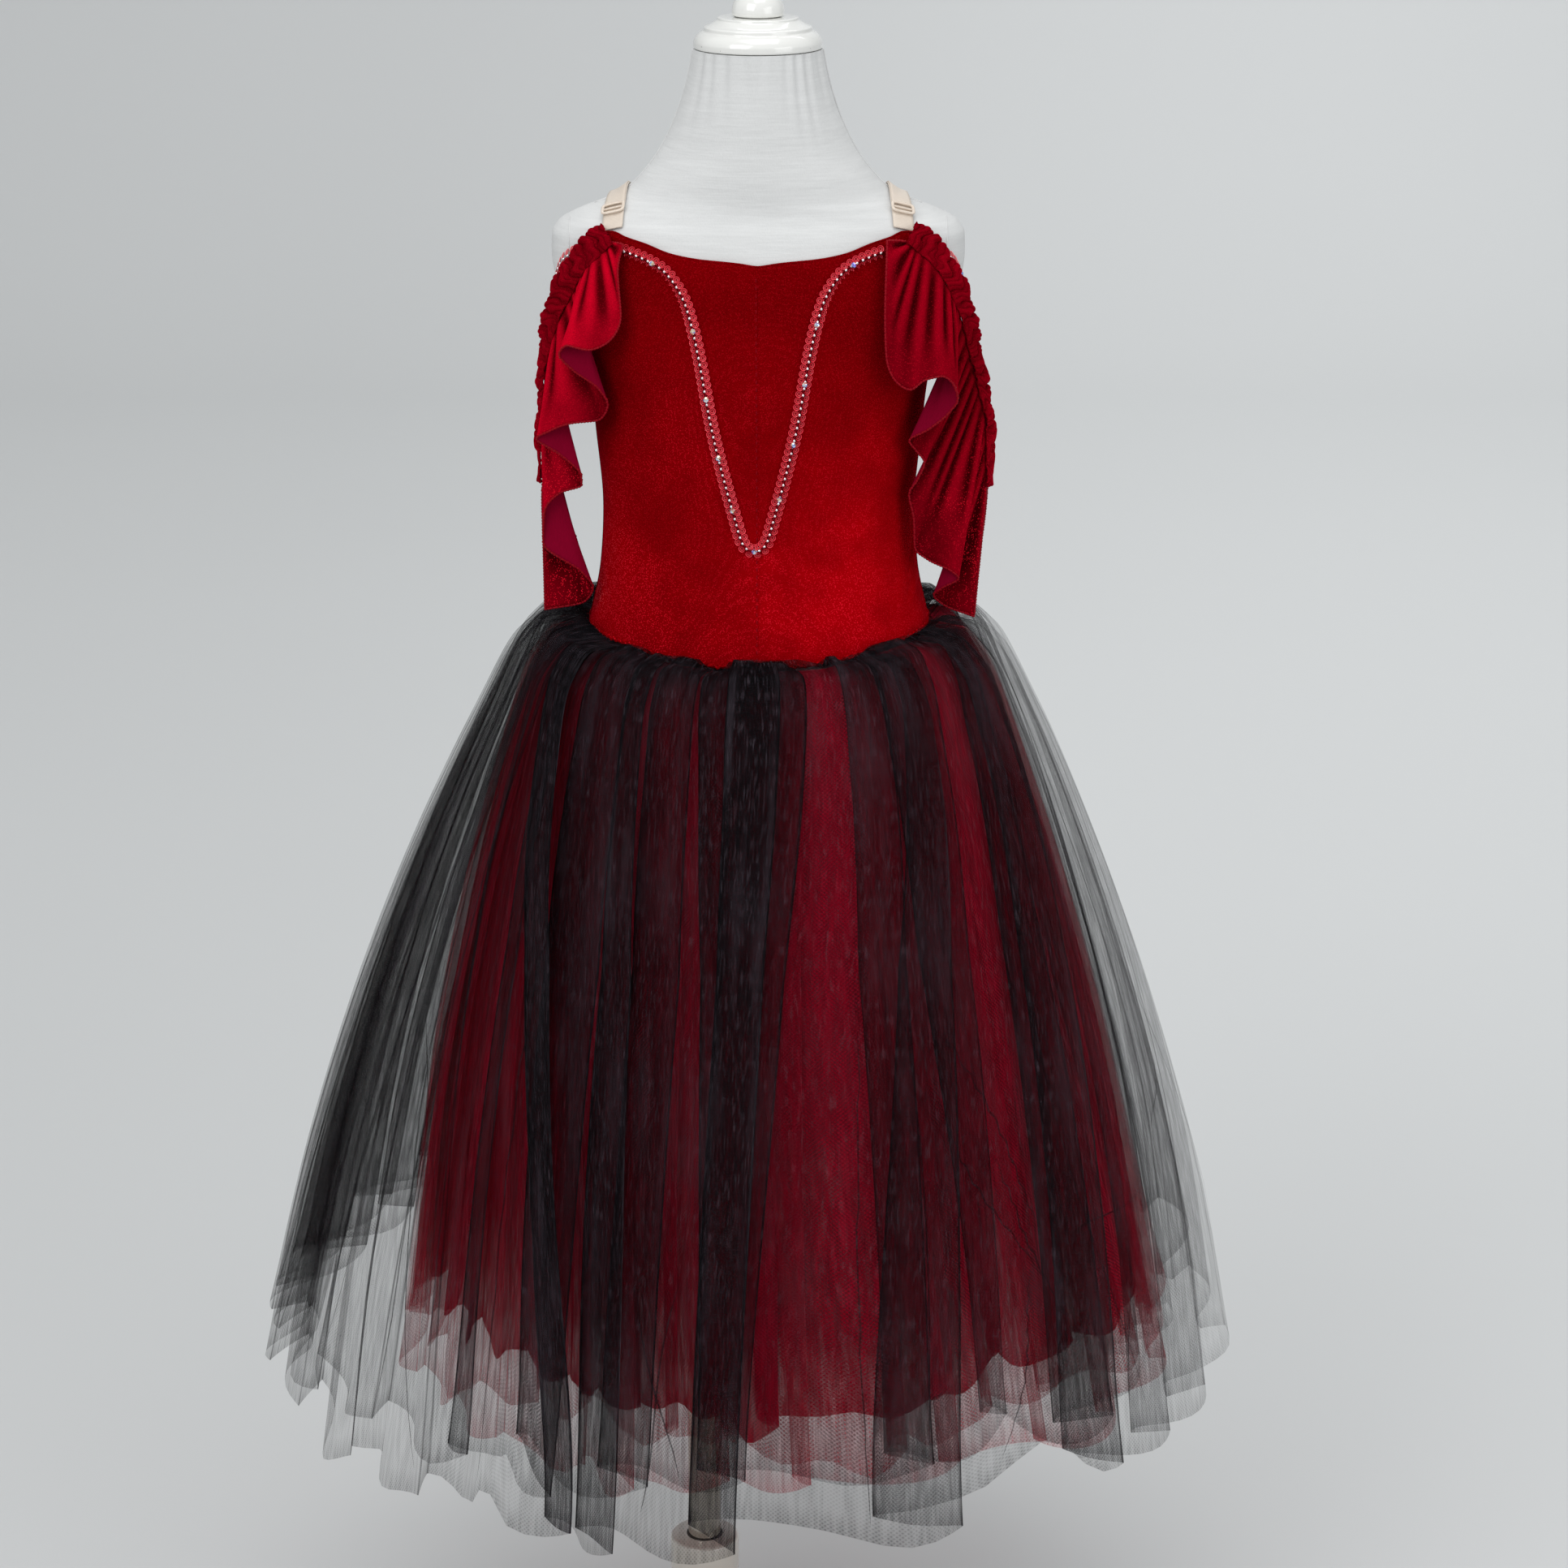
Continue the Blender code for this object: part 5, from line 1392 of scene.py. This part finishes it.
def slider_patch(side):
    """A rounded rectangular frame on the elastic: a round bar carried round a superellipse."""
    corners = strap_grid(RIGHT, np.array(SLIDER_LEAN), ELASTIC_WIDTH, 2)[::-1]
    centre = corners.mean(axis=(0, 1))
    along_strap = unit((corners[0] - corners[1]).sum(axis=0))
    across = squared((corners[:, 1] - corners[:, 0]).sum(axis=0), along_strap)
    out = np.cross(along_strap, across)
    turn = turns(64)
    rim_x = 0.0074 * signed_power(np.cos(turn), 0.42)
    rim_y = 0.0044 * signed_power(np.sin(turn), 0.42)
    lift = CLOTH_GAP + ELASTIC_THICKNESS + 0.0016
    path = centre + rim_x[:, None] * across + rim_y[:, None] * along_strap + lift * out
    aside = np.cross(unit(np.roll(path, -1, axis=0) - np.roll(path, 1, axis=0)), out)
    bar = turns(10)[None, :, None]
    rim = path[:, None] + np.cos(bar) * aside[:, None] * 0.00115 + np.sin(bar) * out * 0.0009
    cross = centre + np.linspace(-0.0070, 0.0070, 12)[:, None] * across + (lift - 0.0003) * out
    flip = np.array([side, 1, 1])
    return [grid_patch((rim * flip)[::side], closed=True, around=True),
            tube_patch(cross * flip, flip * out + 0 * cross, 0.0008)]


def torso_grid():
    """The form's cover: sections up the body, pulled into small valleys under the cap.

    A pull's depth falls off as exp(-(a/w)^2) round the neck and dies out down it.
    """
    heights = column(FORM_SECTIONS, "z")
    z = np.interp(np.linspace(0, 1, 150), np.linspace(0, 1, len(heights)), heights)[None, :]
    angle = (np.arange(240) * 1.5)[:, None]
    out = 0 * (angle + z)
    for pull in NECK_PULLS:
        down = np.clip((z - (FORM_TOP - pull.length)) / pull.length, 0, 1)
        away = away_from(angle, pull.angle) + 5.0 * (1 - down) * np.sign(pull.angle)
        valley = np.exp(-(away / pull.width) ** 2)
        ridge = np.exp(-((away - 1.8 * pull.width) / pull.width) ** 2)
        out = out + pull.depth * (0.6 * ridge - valley) * down ** 0.8
    return body_points(angle + 0 * z, z + 0 * angle, np.minimum(out, 0.0006) - 0.0001)


def cover_seams():
    """Piped seams of the cover: down both sides of the neck, and round each arm plate."""
    patches = []
    z = np.linspace(1.2535, 1.150, 90)
    height = np.linspace(1.070, 1.1425, 60)
    angle = front_angle(ARM_PLATE_X + 0 * height, height, 0.0)
    front, back = (body_points(way, height, 0.0001) for way in (angle, 180 - angle))
    for side in (LEFT, RIGHT):
        path = body_points(90 * side + 0 * z, z, 0.0001)
        patches.append(tube_patch(path, np.array([side, 0, 0.3]) + 0 * path, 0.0007, 6))
        loop = np.concatenate([front, back[::-1]]) * np.array([side, 1, 1])
        patches.append(tube_patch(loop, np.array([side, 0, 0]) + 0 * loop, 0.0005, 6))
    return patches


def paper_sweep(colour):
    """The floor, swept up into a backdrop along a quarter circle, with painted light that makes it
    a little lighter at the right.
    """
    shader = Shader("paper sweep", Roughness=0.9)
    cloud = shader.noise(shader.place(), 0.6, 2.0, 0.5)
    # Painted light: the paper gets lighter towards the right, with faint clouds
    base = shader.mix(0.8 * shader.coordinate("X").ease(-0.9, 1.5) + 0.2 * cloud,
                      shade(colour, 0.98), shade(colour, 1.18))
    turn = np.linspace(0, pi / 2, 24)
    y = np.concatenate([[-12.0, 0.0], 4.7 + 1.6 * np.sin(turn), [6.3]])
    z = np.concatenate([[0.0, 0.0], 1.6 - 1.6 * np.cos(turn), [9.0]])
    x = np.array([-12.0, 12.0])
    patch = grid_patch(np.stack(np.broadcast_arrays(x[:, None], y[None], z[None]), axis=-1))
    mesh = bpy.data.meshes.new("sweep")
    mesh.from_pydata(patch.points.tolist(), [], patch.faces.tolist())
    mesh.shade_smooth()
    mesh.materials.append(shader.finish(Base_Color=base))
    placed("sweep", mesh)


# What a user would change

class VelvetSettings(bpy.types.PropertyGroup):
    """Colours and glitter of the velvet."""
    bodice: bpy.props.FloatVectorProperty(
        name="Bodice", description="Colour of the bodice's velvet", subtype="COLOR",
        default=(0.40, 0.0004, 0.0030), min=0, max=1)
    sleeve: bpy.props.FloatVectorProperty(
        name="Sleeve", description="Colour of the sleeves' velvet", subtype="COLOR",
        default=(0.55, 0.0008, 0.015), min=0, max=1)
    wrong_side: bpy.props.FloatVectorProperty(
        name="Wrong side", description="Colour of the velvet's knitted back", subtype="COLOR",
        default=(0.24, 0.0008, 0.020), min=0, max=1)
    turned_edge: bpy.props.FloatProperty(
        name="Turned edge", description="Radius of the neckline's turned edge", default=0.0009,
        min=0.0004, max=0.0014, unit="LENGTH")
    stitch: bpy.props.FloatProperty(
        name="Stitch", description="Length of the centre seam's stitches", default=0.0026,
        min=0.001, max=0.004, unit="LENGTH")
    glitter: bpy.props.FloatProperty(
        name="Glitter", description="Share of the pile's cells that hold a glint",
        default=0.40, min=0, max=1, subtype="FACTOR")


class TulleSettings(bpy.types.PropertyGroup):
    """Colours and openness of the net."""
    outer: bpy.props.FloatVectorProperty(
        name="Outer", description="Colour of the outer net", subtype="COLOR",
        default=(0.0030, 0.0026, 0.0036), min=0, max=1)
    under: bpy.props.FloatVectorProperty(
        name="Under", description="Colour of the net underneath", subtype="COLOR",
        default=(0.47, 0.0024, 0.0240), min=0, max=1)
    hem_wave: bpy.props.FloatProperty(
        name="Hem wave", description="How far the outer net's cut edge strays up and down",
        default=0.0065, min=0, max=0.012, unit="LENGTH")
    hem_step: bpy.props.FloatProperty(
        name="Hem step", description="How much shorter the second outer layer is",
        default=0.032, min=0.01, max=0.06, unit="LENGTH")
    outer_cover: bpy.props.FloatProperty(
        name="Outer cover", description="What one thickness of the outer net hides",
        default=0.26, min=0.01, max=0.9, subtype="FACTOR")
    under_cover: bpy.props.FloatProperty(
        name="Under cover", description="What one thickness of the net underneath hides",
        default=0.30, min=0.01, max=0.9, subtype="FACTOR")


class TrimSettings(bpy.types.PropertyGroup):
    """Colours of the trim and the straps."""
    sequin: bpy.props.FloatVectorProperty(
        name="Sequins", description="Colour of the cup sequins", subtype="COLOR",
        default=(0.85, 0.015, 0.03), min=0, max=1)
    sequin_size: bpy.props.FloatProperty(
        name="Sequin radius", description="Radius of a cup sequin", default=0.00235,
        min=0.0015, max=0.003, unit="LENGTH")
    sequin_pitch: bpy.props.FloatProperty(
        name="Sequin pitch", description="Distance between sequins along the trim",
        default=0.0045, min=0.003, max=0.008, unit="LENGTH")
    elastic: bpy.props.FloatVectorProperty(
        name="Elastic", description="Colour of the straps and sliders", subtype="COLOR",
        default=(0.66, 0.57, 0.48), min=0, max=1)


class FormSettings(bpy.types.PropertyGroup):
    """Colours of the dress form and its stand."""
    cover: bpy.props.FloatVectorProperty(
        name="Cover", description="Colour of the form's cloth cover", subtype="COLOR",
        default=(0.662, 0.667, 0.662), min=0, max=1)
    lacquer: bpy.props.FloatVectorProperty(
        name="Lacquer", description="Colour of the neck cap and knob", subtype="COLOR",
        default=(0.80, 0.80, 0.77), min=0, max=1)
    collar: bpy.props.FloatVectorProperty(
        name="Stand", description="Colour of the stand's collar and base", subtype="COLOR",
        default=(0.62, 0.58, 0.52), min=0, max=1)


class StageSettings(bpy.types.PropertyGroup):
    """Floor, lights and camera."""
    floor: bpy.props.FloatVectorProperty(
        name="Floor", description="Colour of the floor and backdrop", subtype="COLOR",
        default=(0.635, 0.645, 0.645), min=0, max=1)
    key: bpy.props.FloatProperty(
        name="Key light", description="Power of the large light at the front", default=36.0,
        min=0, unit="POWER")
    fill: bpy.props.FloatProperty(
        name="Fill light", description="Power of the light at the right", default=16.0,
        min=0, unit="POWER")
    top: bpy.props.FloatProperty(
        name="Top light", description="Power of the light overhead", default=22.0,
        min=0, unit="POWER")
    backdrop: bpy.props.FloatProperty(
        name="Backdrop light", description="Power of the light on the backdrop", default=80.0,
        min=0, unit="POWER")
    lens: bpy.props.FloatProperty(
        name="Lens", description="Focal length of the camera", default=36 * 4676 / 1932,
        min=10, max=300)


class DRESS_OT_bodice(bpy.types.Operator):
    """Bodice panels in velvet with turned edges, waist roll and centre stitches"""
    bl_idname = "dress.bodice"
    bl_label = "Bodice"

    def execute(self, context):
        looks = dress_looks()
        settings = context.scene.dress_velvet
        right = np.concatenate([[0, 0.15, 0.3, 0.5, 0.8], np.linspace(1.2, 90, 110)])
        edges, rolls = [], []
        for word, node, angles, gap in (
                ("right", "front_right", right, CLOTH_GAP),
                ("left", "front_left", -right[::-1], CLOTH_GAP),
                ("back", "back", np.linspace(90, 270, 200), BACK_GAP)):
            path, out = bodice_piece(f"bodice_{word}_velvet", f"bodice_{node}", angles, gap, looks)
            edges.append(tube_patch(path, out, settings.turned_edge, 7))
            rolls.append(waist_roll(np.linspace(angles[0], angles[-1], 4 * len(angles)), gap))
        waist = WAISTLINE[0].z
        z = np.linspace(waist + 0.0045, 1.114, 200)
        seam = body_points(-0.25 + 0 * z, z, CLOTH_GAP + VELVET_WALL - 0.0003)
        seam[:, 1] -= flare(z - waist)
        outs = np.array([0.0, -1.0, 0.0]) + 0 * seam
        stitches = stitch_row(seam, outs, 2 * settings.stitch, settings.stitch, 0.00028, 1)
        make_piece("bodice_edges", edges + rolls + [stitches], [looks["velvet"], looks["thread"]])
        return {"FINISHED"}


class DRESS_OT_trim(bpy.types.Operator):
    """Sequin and bead trim: the deep V on the bodice and the sleeves' top edges"""
    bl_idname = "dress.trim"
    bl_label = "Trim"

    def execute(self, context):
        looks = dress_looks()
        bead_line(*v_trim_path(), looks, "neckline_sequins", "neckline_trim", NECKLINE_STONES)
        for side, word in SIDES:
            bead_line(*sleeve_trim_path(side), looks, f"sleeve_sequins_{word}",
                      f"sleeve_trim_{word}", SLEEVE_STONES)
        return {"FINISHED"}


class DRESS_OT_sleeves(bpy.types.Operator):
    """Ruched strips and waterfall flounces of both sleeves"""
    bl_idname = "dress.sleeves"
    bl_label = "Sleeves"

    def execute(self, context):
        looks = dress_looks()
        for side, word in SIDES:
            grid, light = (part[::side] for part in ruching_grid(side))
            piece = make_piece(f"ruching_{word}", [grid_patch(grid, cover=light)],
                               [looks["sleeve_velvet"], looks["velvet_back"]],
                               [f"sleeve_ruching_{word}"])
            thicken(piece, FLOUNCE_WALL, 1, inside=1, even=False)
            length = round(grid_area(grid) / RUCHING_WIDTH, 3)
            flounce_piece("front", side, word, front_flounce_lines(side), 34, 19, looks)
            flounce_piece("back", side, word, back_flounce_lines(side), 26, 9, looks)
        return {"FINISHED"}


class DRESS_OT_skirt(bpy.types.Operator):
    """Layers of black net over layers of dark red net, gathered at the waist"""
    bl_idname = "dress.skirt"
    bl_label = "Skirt"

    def execute(self, context):
        settings = context.scene.dress_tulle
        black = tulle("black tulle", settings.outer, settings.outer_cover, (0.085, 0.068, 0.085))
        red = tulle("dark red tulle", settings.under, settings.under_cover, (0.60, 0.014, 0.05))
        for i, (folds, scale, rise) in enumerate((
                (OUTER_FOLDS, 1.0, 0.002), (INNER_FOLDS, 0.955, 0.002 + settings.hem_step))):
            tulle_piece(f"black_tulle_{i + 1}", black, "black_tulle",
                        ["skirt_black_tulle"] if i == 0 else [], ["bodice_back_velvet"],
                        lines=[] if i else PINCHES, rings=BLACK_RINGS, folds=folds, scale=scale,
                        hem_rise=rise, swing=settings.hem_wave, ragged=0.0008,
                        scallop=0.004 + 0.003 * i, layers=1.0, seed=0.7 + 1.3 * i, tab=0.0078,
                        lifted=1.0 - 0.45 * i, lean=0.030 * i, thin=0.38 + 0.22 * i)
        for i, layer in enumerate(RED_LAYERS):
            tulle_piece(f"red_tulle_{i + 1}", red, "red_tulle",
                        ["skirt_red_tulle"] if i == 0 else [], ["black_tulle_2"],
                        rings=RED_RINGS, scale=layer.scale, hem_rise=layer.rise,
                        folds=moved_folds(INNER_FOLDS, layer.turn, layer.wider, 4 + i),
                        swing=0.0060, ragged=0.0035 if i else 0.0006, scallop=0.010,
                        layers=layer.layers, seed=2.9 + 1.7 * i, tab=0.0015, lifted=0.4)
        return {"FINISHED"}


class DRESS_OT_straps(bpy.types.Operator):
    """Shoulder elastics and their sliders"""
    bl_idname = "dress.straps"
    bl_label = "Straps"

    def execute(self, context):
        colour = context.scene.dress_trim.elastic
        elastic = elastic_finish("satin elastic", colour)
        plastic = clear_plastic("milky plastic", shade(colour, 1.25))
        for side, word in SIDES:
            elastic_piece(f"elastic_{word}", side, np.linspace(*STRAP_LEAN, 130), ELASTIC_WIDTH,
                          CLOTH_GAP, elastic, [f"strap_{word}"])
            elastic_piece(f"elastic_return_{word}", side, np.linspace(*RETURN_LEAN, 100),
                          ELASTIC_WIDTH - 0.0004, CLOTH_GAP + 0.0009, elastic)
            make_piece(f"slider_frame_{word}", slider_patch(side), [plastic],
                       [f"slider_{word}"])
        return {"FINISHED"}


class DRESS_OT_form(bpy.types.Operator):
    """Dress form with its cover, cap and knob, and the stand under it"""
    bl_idname = "dress.form"
    bl_label = "Dress form"

    def execute(self, context):
        settings = context.scene.dress_form
        cover = form_cover("form cover", settings.cover)
        white = lacquer("white lacquer", settings.lacquer, 1.2556, 0.66)
        ivory = lacquer("ivory lacquer", settings.collar, 0.1325, 0.80)
        chrome = chrome_finish("chrome")
        grid = torso_grid()
        ends = []
        for row, z in ((0, FORM_BOTTOM), (-1, FORM_TOP)):
            ring = grid[:, row]
            centre = np.array([0.0, 0.0, z])
            disc = centre + (ring - centre)[:, None, :] * np.array([0.001, 0.5, 1.0])[None, :, None]
            ends.append(grid_patch(disc if row == 0 else disc[:, ::-1], closed=True))
        make_piece("form_cover", [grid_patch(grid, closed=True)] + ends + cover_seams(), [cover],
                   ["form_torso"])
        for name, node, profile, steps, finish, slot, at_form in (
                ("neck_cap", "form_neck_cap", NECK_CAP, 120, white, "white_gloss", True),
                ("cap_knob", "form_knob", KNOB, 80, white, "white_gloss", True),
                ("collar", "stand_collar", COLLAR, 96, ivory, "ivory_gloss", False),
                ("base_disc", "stand_base", BASE, 160, ivory, "ivory_gloss", False)):
            make_piece(name, [lathe_patch(profile, steps)], [finish], [node],
                       sharp=SHARP_TURN, at_form=at_form)
        # Painted shade: a dark ring round the pole where it goes into the collar
        hole_shade = Shader("dark ring", Roughness=0.6).finish(Base_Color=(0.03, 0.025, 0.02))
        make_piece("pole", [lathe_patch(POLE, 72, refine=2), lathe_patch(POLE_HOLE_SHADE, 48, 1, 1)],
                   [chrome, hole_shade], ["stand_pole"], sharp=SHARP_TURN, at_form=False)
        return {"FINISHED"}


class DRESS_OT_stage(bpy.types.Operator):
    """Pale floor swept up into a backdrop, soft lights and the camera"""
    bl_idname = "dress.stage"
    bl_label = "Stage"

    def execute(self, context):
        settings = context.scene.dress_stage
        scene = context.scene
        paper_sweep(settings.floor)
        for light in LIGHTS:
            lamp = bpy.data.lights.new(light.name, "AREA")
            lamp.energy = getattr(settings, light.name)
            lamp.size = light.size
            made = placed(light.name, lamp)
            made.location = light.place
            x, y, z = np.array(light.place) - np.array(light.target)
            made.rotation_euler = (np.arctan2(np.hypot(x, y), z), 0, np.arctan2(x, -y))
        world = bpy.data.worlds.new("soft room")
        world.use_nodes = True
        air = world.node_tree.nodes["Background"].inputs
        air[0].default_value = (0.96, 0.98, 1.0, 1.0)
        air[1].default_value = ROOM_LIGHT
        scene.world = world
        scene.view_settings.view_transform = "Standard"
        scene.cycles.transparent_max_bounces = NET_BOUNCES
        camera = bpy.data.cameras.new("camera")
        camera.lens = settings.lens
        camera.sensor_width = SENSOR_WIDTH
        eye = placed("camera", camera)
        eye.location = CAMERA_PLACE
        eye.rotation_euler = (radians(CAMERA_TILT), 0, 0)
        scene.camera = eye
        return {"FINISHED"}


class DRESS_PT_pieces(bpy.types.Panel):
    """Lists the dress's settings and the operators that build it"""
    bl_idname = "DRESS_PT_pieces"
    bl_label = "Ballet dress"
    bl_space_type = "VIEW_3D"
    bl_region_type = "UI"
    bl_category = "Dress"

    def draw(self, context):
        scene = context.scene
        for settings in (scene.dress_velvet, scene.dress_tulle, scene.dress_trim,
                         scene.dress_form, scene.dress_stage):
            box = self.layout.box()
            for name in settings.bl_rna.properties.keys():
                if name not in ("rna_type", "name"):
                    box.prop(settings, name)
        for piece in OPERATORS:
            self.layout.operator(piece.bl_idname)


SETTINGS = {
    "dress_velvet": VelvetSettings, "dress_tulle": TulleSettings, "dress_trim": TrimSettings,
    "dress_form": FormSettings, "dress_stage": StageSettings,
}
OPERATORS = (DRESS_OT_form, DRESS_OT_bodice, DRESS_OT_straps, DRESS_OT_sleeves, DRESS_OT_trim,
             DRESS_OT_skirt, DRESS_OT_stage)


def register():
    """Register the settings, operators and panel."""
    for name, kind in SETTINGS.items():
        bpy.utils.register_class(kind)
        setattr(bpy.types.Scene, name, bpy.props.PointerProperty(type=kind))
    for kind in OPERATORS + (DRESS_PT_pieces,):
        bpy.utils.register_class(kind)


def unregister():
    """Undo register."""
    for kind in (DRESS_PT_pieces,) + OPERATORS[::-1]:
        bpy.utils.unregister_class(kind)
    for name, kind in SETTINGS.items():
        delattr(bpy.types.Scene, name)
        bpy.utils.unregister_class(kind)


def main():
    """Build every piece in order."""
    register()
    bpy.ops.dress.form()
    bpy.ops.dress.bodice()
    bpy.ops.dress.straps()
    bpy.ops.dress.sleeves()
    bpy.ops.dress.trim()
    bpy.ops.dress.skirt()
    bpy.ops.dress.stage()


if __name__ == "__main__":
    main()
